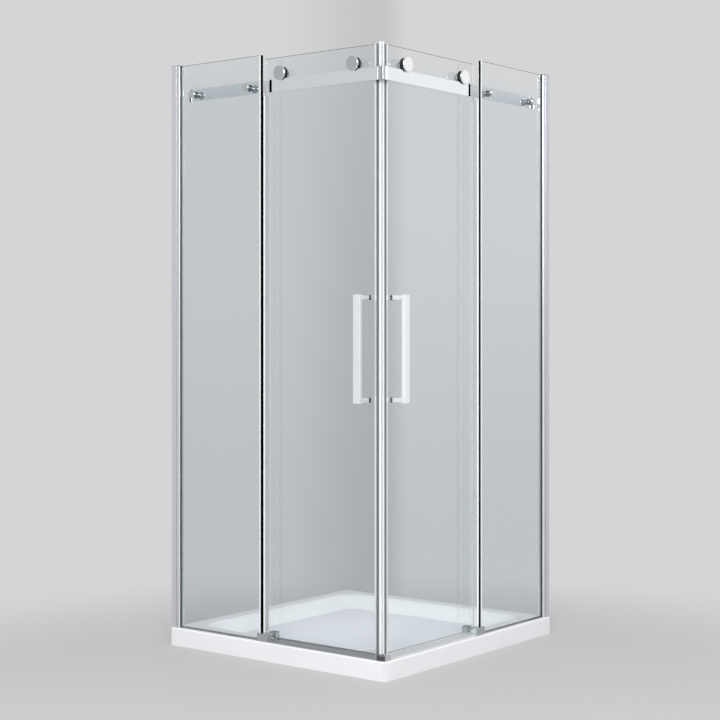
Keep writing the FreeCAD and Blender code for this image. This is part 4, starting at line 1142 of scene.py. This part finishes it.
def makeGuideBlock(side):
    s = guideShape
    place = placeOn(side)
    bm = bmesh.new()
    (a0, a1), (d0, d1), (low, high) = s["a"], s["d"], s["z"]
    armStart, armEnd = s["arm"]
    edge, slotFace, slotBack = s["glass"]
    # a block slotted for the glass, then its arm, rib and cheeks
    outline = [(a0, d0), (a1, d0), (a1, slotFace), (edge, slotFace)]
    outline += [(edge, slotBack), (a1, slotBack), (a1, d1), (a0, d1)]
    addExtrusion(bm, place, roundedAt(outline, s["round"], s["roundSteps"], 0, 1, 6, 7), "z", low, high)
    overlap, short, thick = s["floor"]
    addBlock(bm, place, (edge - overlap, slotFace - overlap, low), (a1 - short, slotBack + overlap, low + thick))
    deep = d1 - s["armSink"]
    addBlock(bm, place, (armStart, deep, low), (armEnd, s["cheeks"][1][1] - s["armShort"], s["armTop"]))
    ribStart, ribEnd, ribTop = s["rib"]
    ribFoot, ribBack = s["armTop"] - s["armSink"], s["cheeks"][0][0] + s["ribSink"]
    addBlock(bm, place, (ribStart, deep, ribFoot), (ribEnd, ribBack, ribTop))
    foot, top = low + s["cheekLift"], s["cheekTop"]
    cheek = roundedAt([(armStart, foot), (armEnd, foot), (armEnd, top), (armStart, top)], s["cheekRound"],
                      s["roundSteps"], 2, 3)
    for near, far in s["cheeks"]:
        addExtrusion(bm, place, cheek, "d", near, far)
    block = meshObject("guide_block_dressed_" + side, bm, "guideSatin")
    install(block, "enclosure", "chrome", "guide_block_" + side, edge=s["edge"])


def makeGuides():
    s = guideShape
    liners = bmesh.new()
    for side in sides:
        makeGuideBlock(side)
        for near, far in s["liners"]:
            low, high = (s["arm"][0], near, s["armTop"]), (s["arm"][1], far, s["linerTop"])
            addBlock(liners, placeOn(side), low, high)
    pads = meshObject("guide_liner_pads", liners, "sealMilky")
    install(pads, "enclosure", "clear_seal", "guide_liners", edge=s["edge"])
    up = Vector((0, 0, 1))
    screws = [(side, a, s["screwInward"], s["armTop"] + s["screwLift"], up) for side in sides for a in s["screws"]]
    setFasteners("guide_screw_row", "armScrew", screws, "guide_screws")
    a, z = s["grub"]
    grubs = [(side, a, s["d"][1] - s["grubSink"], z, inwardOf(side)) for side in sides]
    setFasteners("guide_grub_row", "guideGrub", grubs)


thresholdShape = {
    "face": 11.0, "back": 55.0, "z": 57.0, "rise": 6.0, "lip": 7.5, "lipWidth": 3.0, "skin": 1.5, "wall": 3.0,
    "web": (34.0, 32.0), "start": 42.2, "end": 476.8, "mitreGap": 0.1, "round": 3.0, "roundSteps": 5, "edge": 0.35,
    # the left strip's finish carries painted shade, the right strip's painted light
    "look": {"left": "thresholdPaintedShade", "right": "thresholdPaintedLight"},
}
jointShape = {
    "from": 10.0, "to": 42.0, "low": 57.0, "high": 71.0, "round": 10.0, "roundSteps": 8, "topRound": 3.2, "topSteps": 5,
}


def makeThresholds():
    s = thresholdShape
    face, back, foot = s["face"], s["back"], s["z"]
    top, roof, lip = foot + s["rise"], foot + s["rise"] - s["skin"], foot + s["lip"]
    lipStart, wall, (webFar, webNear) = back - s["lipWidth"], face + s["wall"], s["web"]
    section = roundedAt([(face, foot), (face, top), (lipStart, top)], s["round"], s["roundSteps"], 1)
    section += [(lipStart, lip), (back, lip), (back, foot), (lipStart, foot), (lipStart, roof)]
    section += [(webFar, roof), (webFar, foot), (webNear, foot), (webNear, roof), (wall, roof), (wall, foot)]
    for side in sides:
        bm = bmesh.new()
        # the two strips meet in a mitre behind the corner piece
        addExtrusion(bm, placeOn(side), section, "a", lambda d, z: max(s["start"], d + s["mitreGap"]), s["end"])
        strip = meshObject("threshold_strip_" + side, bm, s["look"][side])
        install(strip, "enclosure", "wall_aluminium", "threshold_" + side, edge=s["edge"])
    j = jointShape
    a, b = j["from"], j["to"]
    bm = bmesh.new()
    outline = roundedAt([(a, a), (b, a), (b, b), (a, b)], j["round"], j["roundSteps"], 0)
    addExtrusion(bm, placeOn("right"), outline, "z", j["low"], j["high"])
    corner = meshObject("threshold_corner", bm, "thresholdCorner")
    install(corner, "enclosure", "wall_aluminium", "threshold_joint", edge=j["topRound"], steps=j["topSteps"])


makeGuides()
makeThresholds()
print("guides and threshold built")


# seals of the fixed glass and the meeting strips of the doors

overlapShape = {
    "edge": 510.9, "reach": 518.0, "glassEdge": 511.95, "legOut": 15.9, "legBack": 26.1, "legTaper": 0.5,
    "face": 17.0, "rear": 25.0, "round": 0.3, "low": 82.2, "high": 1893.0,
    # depth of the dark strip on the glass edge, which is painted shade, and where the light legs start
    "strip": {"left": (15.95, 26.05, 512.05), "right": (17.05, 24.95, 510.9)},
    # the fin's bands: root, tip and material number, then what is left of it out to the door; the dark band is painted
    # shade and the light bands painted highlights
    "bands": {
        "left": ((26.15, 28.0, 1), (28.05, 36.0, 0), (36.05, 52.0, 3)),
        "right": ((26.15, 31.5, 0), (31.55, 47.0, 3)),
    },
    "bandLook": {"left": "sealBand", "right": "sealGap"},
    "bandGap": 0.05, "fin": 61.0, "finWidths": (1.3, 1.2, 0.9), "finTop": 1768.0,
}


def makeOverlapSeals():
    s = overlapShape
    edge, reach, face, rear, taper = s["edge"], s["reach"], s["face"], s["rear"], s["legTaper"]
    bandWidth, rootWidth, tipWidth = s["finWidths"]
    for side in sides:
        place = placeOn(side)
        bm = bmesh.new()
        front, back, start = s["strip"][side]
        # the legs' white is a painted highlight
        legs = ([(start, s["legOut"]), (reach, s["legOut"] + taper), (reach, face), (start, face)],
                [(start, rear), (reach, rear), (reach, s["legBack"] - taper), (start, s["legBack"])])
        for leg in legs:
            addExtrusion(bm, place, rounded(leg, s["round"]), "z", s["low"], s["high"])
        # painted shade: a black strip over the fixed pane's cut edge
        strip = [(edge, front), (s["glassEdge"], front), (s["glassEdge"], back), (edge, back)]
        addExtrusion(bm, place, strip, "z", s["low"], s["high"], 1)
        for root, tip, look in s["bands"][side]:
            band = [(edge, root), (edge + bandWidth, root), (edge + bandWidth, tip), (edge, tip)]
            addExtrusion(bm, place, band, "z", s["low"], s["finTop"], look)
        root = s["bands"][side][-1][1] + s["bandGap"]
        fin = [(edge, root), (edge + rootWidth, root), (edge + tipWidth, s["fin"]), (edge, s["fin"])]
        addExtrusion(bm, place, fin, "z", s["low"], s["finTop"], 2)
        seal = meshObject("overlap_seal_drawn_" + side, bm, "sealLipHighlight", "edgeShade", "sealFin", s["bandLook"][side])
        install(seal, "enclosure", "clear_seal", "overlap_seal_" + side)


magnetShape = {
    "face": 58.0, "back": 70.0, "gap": 2.0, "wall": 1.5, "low": 60.0, "high": 1893.0,
    "outerRound": 1.5, "innerRound": 0.3, "roundSteps": 4,
    "neck": (70.0, 79.0), "neckDepth": (63.5, 68.5), "neckLow": 62.0, "neckHigh": 1889.0,
    "waist": (3.0, 3.6, 5.4, 6.0), "waistDepth": 0.6,
}


def makeMagnetStrip(side):
    # a three-cornered tube whose long face meets the other door's
    s = magnetShape
    a, b, wall, steps = s["face"], s["back"], s["wall"], s["roundSteps"]
    slant = s["gap"] + wall * (1 + math.sqrt(2))
    outer = rounded([(a + s["gap"], a), (b, a), (b, b - s["gap"])], s["outerRound"], steps)
    inner = [(a + wall + slant, a + wall), (b - wall, a + wall), (b - wall, b - wall - slant)]
    inner = rounded(inner, s["innerRound"], steps)
    bm = bmesh.new()
    rings = []
    for outline, z in ((outer, s["low"]), (outer, s["high"]), (inner, s["high"]), (inner, s["low"])):
        rings.append([bm.verts.new(placeOn(side)(u, v, z)) for u, v in outline])
    bridgeAll(bm, rings + rings[:1])
    strip = meshObject("magnet_strip_drawn_" + side, bm, "magnetWhite")
    install(strip, "door_" + side, "magnet_white", "magnet_strip_" + side)


def makeMagnetNeck(side):
    s = magnetShape
    (start, end), (near, far), dip = s["neck"], s["neckDepth"], s["waistDepth"]
    one, two, three, four = (start + reach for reach in s["waist"])
    section = [(start, near), (one, near), (two, near + dip), (three, near + dip), (four, near), (end, near)]
    section += [(end, far), (four, far), (three, far - dip), (two, far - dip), (one, far), (start, far)]
    bm = bmesh.new()
    addExtrusion(bm, placeOn(side), section, "z", s["neckLow"], s["neckHigh"])
    neck = meshObject("magnet_neck_drawn_" + side, bm, "stripGasket")
    install(neck, "door_" + side, "dark_gasket", "magnet_neck_" + side)


makeOverlapSeals()
for side in sides:
    makeMagnetStrip(side)
    makeMagnetNeck(side)
print("seals built")


# rollers

rollerShape = {
    "places": {"front": 156.0, "rear": 452.0}, "axle": 1834.65,
    "wheel": (39.0, 53.0), "tread": (40.8, 51.2), "treadRadius": 17.5, "flangeRadius": 21.0, "boreFront": 8.5,
    "flangeEdge": 0.6, "web": (13.0, 17.0, 18.0), "webDepth": 0.5, "hubs": (12.0, 12.4), "wheelRound": 0.25,
    "bearing": (42.5, 49.5), "bearingRadius": 11.0, "bore": 4.05, "race": 1.0, "raceRound": 0.2,
    "balls": 9, "pitch": 7.5, "ball": 1.7, "wheelSteps": 72, "raceSteps": 56,
}


def wheelProfile():
    s = rollerShape
    (front, rear), (treadFront, treadRear), seat = s["wheel"], s["tread"], s["bearing"][0]
    rim, tread, bore = s["flangeRadius"], s["treadRadius"], s["bearingRadius"]
    edge, dip, (low, high, outer) = s["flangeEdge"], s["webDepth"], s["web"]
    frontHub, rearHub = s["hubs"]
    profile = [(front, s["boreFront"]), (front, frontHub), (front + dip, low), (front + dip, high), (front, outer)]
    profile += [(front, rim - edge), (front + edge, rim), (treadFront - edge, rim), (treadFront, tread + edge)]
    profile += [(treadFront + edge, tread), (treadRear - edge, tread), (treadRear, tread + edge)]
    profile += [(treadRear + edge, rim), (rear - edge, rim), (rear, rim - edge), (rear, outer)]
    profile += [(rear - dip, high), (rear - dip, low), (rear, rearHub)]
    profile += [(rear, bore), (seat, bore), (seat, s["boreFront"])]
    return rounded(profile, s["wheelRound"], 2)


def raceProfiles():
    # outer ring and inner ring, each with the groove that the balls run in
    s = rollerShape
    (front, rear), ball, pitch = s["bearing"], s["ball"], s["pitch"]
    middle = (front + rear) / 2
    wide, narrow = pitch + s["race"], pitch - s["race"]
    outer = [(front, wide), (front, s["bearingRadius"]), (rear, s["bearingRadius"]), (rear, wide)]
    outer += [(middle + ball, wide), (middle, pitch + ball), (middle - ball, wide)]
    inner = [(front, s["bore"]), (front, narrow), (middle - ball, narrow), (middle, pitch - ball)]
    inner += [(middle + ball, narrow), (rear, narrow), (rear, s["bore"])]
    return [rounded(profile, s["raceRound"], 2) for profile in (outer, inner)]


def makeRoller(side, end):
    s = rollerShape
    place = placeOn(side)
    a, z = s["places"][end], s["axle"]
    tail = "_" + end + "_" + side
    body = "roller" + tail
    wheel = bmesh.new()
    addLathe(wheel, place, wheelProfile(), a, z, True, s["wheelSteps"])
    install(meshObject("wheel_turned" + tail, wheel, "blackNylon"), body, "black_nylon", "wheel" + tail)
    races = bmesh.new()
    for profile in raceProfiles():
        addLathe(races, place, profile, a, z, True, s["raceSteps"])
    install(meshObject("bearing_races" + tail, races, "plainSteel"), body, "steel", "bearing" + tail)
    centre = [(place(a, sum(s["bearing"]) / 2, z), inwardOf(side))]
    balls = runTree("bearing_balls" + tail, points(centre), trees["ball"], Balls=s["balls"],
                    PitchRadius=s["pitch"] * mm, BallRadius=s["ball"] * mm, Finish=finish["plainSteel"])
    install(balls, body, "steel")


mountShape = {
    "cap": (32.5, 37.5), "capRadius": 23.5, "capBevel": 1.4, "capCrown": 0.8, "crownSteps": 8, "capRound": 0.3,
    # capLook gives the left caps painted shade and the right caps painted light
    "capBore": (3.0, 4.0), "capSteps": 72, "capLook": {"left": "capPaintedShade", "right": "capPaintedLight"},
    "shoulder": 6.0, "pin": 4.0, "pinGap": 0.3, "collar": 7.5, "stem": 5.0, "stemTip": 84.0, "tipBevel": (0.8, 1.0),
    "threadStart": 71.0, "threadPitch": 1.0, "threadDepth": 0.15,
    "bore": 5.05, "washer": 10.8, "washerFace": (61.0, 62.0), "sleeve": (6.9, 69.8), "washerBack": (70.0, 71.0),
    "washerRound": 0.2, "washerSteps": 32,
    "nut": (71.0, 73.0, 82.0), "nutRadius": 9.0, "nutFlange": 12.5, "nutEdges": (0.5, 0.6, 1.0), "nutRound": 0.25,
    "nutSteps": 64, "nutFlat": 8.0, "flatFrom": 0.3,
}


def boltProfile():
    s = mountShape
    back, stem, pin, (boreDepth, boreRadius) = s["cap"][1], s["stem"], s["pin"], s["capBore"]
    front, rear = rollerShape["bearing"][0] - s["pinGap"], rollerShape["bearing"][1] + s["pinGap"]
    glass, (tipLength, tipBevel) = s["washerFace"][0], s["tipBevel"]
    profile = [(back - boreDepth, 0.0), (back - boreDepth, boreRadius), (back, boreRadius), (back, s["shoulder"])]
    profile += [(front, s["shoulder"]), (front, pin), (rear, pin), (rear, s["collar"])]
    profile += [(glass, s["collar"]), (glass, stem)]
    profile += threaded(s["threadStart"], s["stemTip"] - tipLength, stem, s["threadPitch"], s["threadDepth"])
    return profile + [(s["stemTip"], stem - tipBevel), (s["stemTip"], 0.0)]


def nutProfile():
    s = mountShape
    (front, step, back), (flangeEdge, flangeDrop, endBevel) = s["nut"], s["nutEdges"]
    flange, radius, bore = s["nutFlange"], s["nutRadius"], s["bore"]
    profile = [(front, bore), (front, flange), (step - flangeEdge, flange), (step, flange - flangeDrop), (step, radius)]
    profile += [(back - endBevel, radius), (back, radius - endBevel), (back, bore)]
    return rounded(profile, s["nutRound"], 2)


def cutFlats(bm, first, side, a, z):
    # two flats for the spanner
    s = mountShape
    bm.verts.ensure_lookup_table()
    for vert in bm.verts[first:]:
        lift = vert.co.z / mm - z
        inward = (vert.co - placeOn(side)(a, 0, z)).dot(inwardOf(side)) / mm
        if inward > s["nut"][1] + s["flatFrom"] and abs(lift) > s["nutFlat"]:
            vert.co.z = (z + math.copysign(s["nutFlat"], lift)) * mm


def makeRollerMounts(side):
    s = mountShape
    place = placeOn(side)
    caps, bolts, gaskets, nuts = bmesh.new(), bmesh.new(), bmesh.new(), bmesh.new()
    (face, back), rim, bevel, crown, steps = s["cap"], s["capRadius"], s["capBevel"], s["capCrown"], s["crownSteps"]
    boreDepth, boreRadius = s["capBore"]
    arch = [(face + crown * (step / steps) ** 2, (rim - bevel) * step / steps) for step in range(steps + 1)]
    capRim = [arch[-1], (face + crown + bevel, rim), (back, rim), (back, boreRadius)]
    capRim = rounded(capRim, s["capRound"], 3, False) + [(back - boreDepth, boreRadius), (back - boreDepth, 0.0)]
    (front, glass), (sleeve, sleeveEnd), (behind, rear) = s["washerFace"], s["sleeve"], s["washerBack"]
    bore, washer = s["bore"], s["washer"]
    frontWasher = [(front, bore), (front, washer), (glass, washer), (glass, sleeve)]
    frontWasher += [(sleeveEnd, sleeve), (sleeveEnd, bore)]
    rearWasher = rounded([(behind, bore), (behind, washer), (rear, washer), (rear, bore)], s["washerRound"])
    z = rollerShape["axle"]
    for a in rollerShape["places"].values():
        addLathe(caps, place, arch, a, z, False, s["capSteps"])
        addLathe(caps, place, capRim, a, z, False, s["capSteps"], 1)
        addLathe(bolts, place, boltProfile(), a, z)
        for profile in (frontWasher, rearWasher):
            addLathe(gaskets, place, profile, a, z, True, s["washerSteps"])
        first = len(nuts.verts)
        addLathe(nuts, place, nutProfile(), a, z, True, s["nutSteps"])
        cutFlats(nuts, first, side, a, z)
    body = "door_" + side
    capPair = meshObject("roller_cap_pair_" + side, caps, s["capLook"][side], "railPolish")
    install(capPair, body, "chrome", "roller_caps_" + side)
    install(meshObject("roller_bolt_pair_" + side, bolts, "plainSteel"), body, "steel", "roller_bolts_" + side)
    washers = meshObject("roller_washer_set_" + side, gaskets, "clearWasher")
    install(washers, body, "clear_seal", "roller_gaskets_" + side)
    install(meshObject("roller_nut_pair_" + side, nuts, "chromePolish"), body, "chrome", "roller_nuts_" + side)


# handles

handleShape = {
    # the left handle's finish carries painted shade, the right handle's painted light
    "look": {"left": "handlePaintedShade", "right": "handlePaintedLight"},
    "a": 118.0, "width": 25.0, "bar": (9.0, 21.5), "z": (812.0, 1138.0), "levels": (821.0, 1129.0),
    "armWidth": 18.0, "armHeight": 13.5, "armSink": 3.0, "armEnd": 60.5,
    "stud": 4.0, "studEnd": 84.0, "studSteps": 24, "edge": 1.4, "edgeSteps": 4,
    "pads": ((60.5, 62.0), (70.0, 71.5)), "padOver": 0.5, "padEdge": 0.5, "caps": (71.5, 86.5),
}


def makeHandle(side):
    s = handleShape
    place = placeOn(side)
    a, wide, tall, over, sink = s["a"], s["armWidth"] / 2, s["armHeight"] / 2, s["padOver"], s["armSink"]
    (barFace, barBack), (low, high), halfBar = s["bar"], s["z"], s["width"] / 2
    grip, pads, caps = bmesh.new(), bmesh.new(), bmesh.new()
    addBlock(grip, place, (a - halfBar, barFace, low), (a + halfBar, barBack, high))
    studStart = s["armEnd"] - sink
    stud = [(studStart, 0.0), (studStart, s["stud"]), (s["studEnd"], s["stud"]), (s["studEnd"], 0.0)]
    for z in s["levels"]:
        addBlock(grip, place, (a - wide, barBack - sink, z - tall), (a + wide, s["armEnd"], z + tall))
        addLathe(grip, place, stud, a, z, False, s["studSteps"])
        for near, far in s["pads"]:
            addBlock(pads, place, (a - wide - over, near, z - tall - over), (a + wide + over, far, z + tall + over))
        addBlock(caps, place, (a - wide, s["caps"][0], z - tall), (a + wide, s["caps"][1], z + tall))
    body, look = "door_" + side, s["look"][side]
    edge, steps = s["edge"], s["edgeSteps"]
    install(meshObject("handle_grip_" + side, grip, look), body, "chrome", "handle_" + side, edge=edge, steps=steps)
    padSet = meshObject("handle_pad_set_" + side, pads, "blackRubber")
    install(padSet, body, "black_rubber", "handle_gaskets_" + side, edge=s["padEdge"])
    capPair = meshObject("handle_cap_pair_" + side, caps, look)
    install(capPair, body, "chrome", "handle_caps_" + side, edge=edge, steps=steps)


for side in sides:
    for end in ends:
        makeRoller(side, end)
    makeRollerMounts(side)
    makeHandle(side)
for fastener in fasteners.values():
    bpy.data.objects.remove(fastener)
print("doors dressed")


# floor, backdrop and light

studioLook = {
    "floor": tone(205, 203, 204), "floorShade": tone(200, 198, 199), "floorNoise": (0.8, 3.0),
    "floorSurface": {"Roughness": 0.6, "Specular IOR Level": 0.1},
    "backdrop": tone(213, 213, 214), "light": 0.7,
    # the floor turns into the backdrop between two distances from a point beside the object
    "reach": 40.0, "fadeFrom": (0.55, -0.7), "fade": (1.05, 2.3),
    # an upright shade on the backdrop: its tones, how far up it lightens, where it is seen from,
    # its direction, and its width to the left and right in radians
    "shadeLow": tone(190, 190, 191), "shadeHigh": tone(198, 198, 199), "shadeRise": 0.2,
    "shadeFrom": (3.28, -3.99, 0.0), "shadeWay": (-0.626, 0.780), "shadeLeft": 0.075, "shadeRight": 0.018,
}


def backdropTone(t, way, shadeTone):
    # the backdrop darkens softly along one upright line
    s = studioLook
    aheadX, aheadY = s["shadeWay"]
    turns = []
    for axis in ((aheadY, -aheadX, 0.0), (aheadX, aheadY, 0.0)):
        turns.append(t.add("ShaderNodeVectorMath", {0: way, 1: axis}, operation="DOT_PRODUCT").outputs["Value"])
    angle = t.math("ARCTAN2", *turns)
    shade = t.math("MINIMUM", t.remap(angle, -s["shadeLeft"], 0.0), t.remap(angle, s["shadeRight"], 0.0))
    return t.mix(shade, s["backdrop"], shadeTone)


def seenRays(t):
    # rays that see the backdrop: straight from the camera, through glass or off metal
    path = t.add("ShaderNodeLightPath").outputs
    direct = t.math("MAXIMUM", path["Is Camera Ray"], path["Is Transmission Ray"])
    return t.math("MAXIMUM", direct, path["Is Glossy Ray"])


def flatSheet(name, wide, tall):
    mesh = bpy.data.meshes.new(name)
    mesh.from_pydata([(-wide, -tall, 0), (wide, -tall, 0), (wide, tall, 0), (-wide, tall, 0)], [], [(0, 1, 2, 3)])
    return addObject(name, mesh)


def turnTo(thing, at, aim, axis):
    thing.location = at
    thing.rotation_euler = (Vector(aim) - Vector(at)).to_track_quat(axis, "Y").to_euler()


def makeFloor():
    s = studioLook
    floor = flatSheet("floor", s["reach"], s["reach"])
    material, t, shader = newMaterial("floorPale")
    place = t.place()
    t.set(shader.inputs["Base Color"], t.mix(t.noise(place, *s["floorNoise"]), s["floor"], s["floorShade"]))
    for socket, value in s["floorSurface"].items():
        shader.inputs[socket].default_value = value
    # away from the object the floor turns into the backdrop, so no far edge shows
    spot = t.split(place)
    offsets = [t.math("SUBTRACT", spot[index], s["fadeFrom"][index]) for index in (0, 1)]
    reach = t.math("SQRT", t.math("ADD", *[t.math("MULTIPLY", offset, offset) for offset in offsets]))
    way = t.add("ShaderNodeVectorMath", {0: place, 1: s["shadeFrom"]}, operation="SUBTRACT").outputs[0]
    backdrop = t.add("ShaderNodeEmission", {"Color": backdropTone(t, way, s["shadeLow"])})
    fade = t.math("MULTIPLY", t.remap(reach, *s["fade"]), seenRays(t))
    t.set(surfaceOf(material), t.blend(fade, shader.outputs[0], backdrop.outputs[0]))
    floor.data.materials.append(material)


def makeWorld():
    # white light for the object, a pale grey backdrop for what looks past it
    s = studioLook
    world = bpy.data.worlds.new("studio")
    bpy.context.scene.world = world
    world.use_nodes = True
    t = NodeTree(world.node_tree)
    light = world.node_tree.nodes["Background"]
    light.inputs["Color"].default_value = (1.0, 1.0, 1.0, 1.0)
    light.inputs["Strength"].default_value = s["light"]
    way = t.add("ShaderNodeTexCoord").outputs["Generated"]
    shadeTone = t.mix(t.remap(t.split(way)[2], 0.0, s["shadeRise"]), s["shadeLow"], s["shadeHigh"])
    shown = t.add("ShaderNodeBackground", {"Color": backdropTone(t, way, shadeTone)})
    surface = t.blend(seenRays(t), light.outputs[0], shown.outputs[0])
    t.set(world.node_tree.nodes["World Output"].inputs["Surface"], surface)


cardLook = {
    "at": (3.4, 4.2, 1.6), "aim": (0.3, 0.0, 1.6), "size": (3.2, 4.4), "low": 0.665, "high": 0.94,
    "rise": (-0.75, 0.55), "fadeOut": (1.6, 1.0),
}


def makeCard():
    # an upright card that the right side's metal mirrors, bright at the top
    # and faded into the backdrop at its edges
    s = cardLook
    card = flatSheet("rightCard", *(size / 2 for size in s["size"]))
    turnTo(card, s["at"], s["aim"], "Z")
    material, t, _ = newMaterial("cardGlow")
    spot = t.split(t.place())
    bright = t.math("MULTIPLY", t.remap(spot[1], *s["rise"]), t.remap(t.math("ABSOLUTE", spot[0]), *s["fadeOut"]))
    strength = t.math("ADD", t.math("MULTIPLY", bright, s["high"] - s["low"]), s["low"])
    t.set(surfaceOf(material), t.add("ShaderNodeEmission", {"Strength": strength}).outputs[0])
    card.data.materials.append(material)
    card.visible_camera = card.visible_transmission = card.visible_shadow = False


lampLook = {
    # place, aim, width and height in metres, power in watts and spread in degrees
    "keyLamp": ((3.6, -4.6, 3.2), (0, 0, 0.9), 2.5, 2.5, 235.0, 180.0),
    "cabinLamp": ((-0.05, 0.05, 3.6), (-0.05, 0.05, 0), 0.5, 0.5, 0.3, 15.0),
}


def makeLamp(name, at, aim, width, height, power, spread):
    lamp = bpy.data.lights.new(name, "AREA")
    lamp.energy = power
    lamp.shape = "RECTANGLE"
    lamp.size = width
    lamp.size_y = height
    lamp.spread = math.radians(spread)
    thing = addObject(name, lamp)
    turnTo(thing, at, aim, "-Z")


viewLook = {
    # the middle is the point of the picture that the camera looks straight at, in pixels
    "at": (3.2808, -3.9902, 1.0487), "turn": 36.614, "focal": 1546.9, "middle": (440.0, 324.4), "image": 720,
    "sensor": 36.0, "clipEnd": 60.0,
}


def makeCamera():
    s = viewLook
    image = s["image"]
    camera = bpy.data.cameras.new("photoView")
    camera.sensor_width = s["sensor"]
    camera.lens = s["focal"] / image * camera.sensor_width
    camera.shift_x = (image / 2 - s["middle"][0]) / image
    camera.shift_y = (s["middle"][1] - image / 2) / image
    camera.clip_end = s["clipEnd"]
    thing = addObject("photoView", camera)
    thing.location = s["at"]
    thing.rotation_euler = (math.radians(90), 0, math.radians(s["turn"]))
    bpy.context.scene.camera = thing


makeFloor()
makeWorld()
for lampName, lampValues in lampLook.items():
    makeLamp(lampName, *lampValues)
makeCard()
makeCamera()
bpy.context.scene.view_settings.view_transform = "Standard"
print("studio, lamps and camera set")
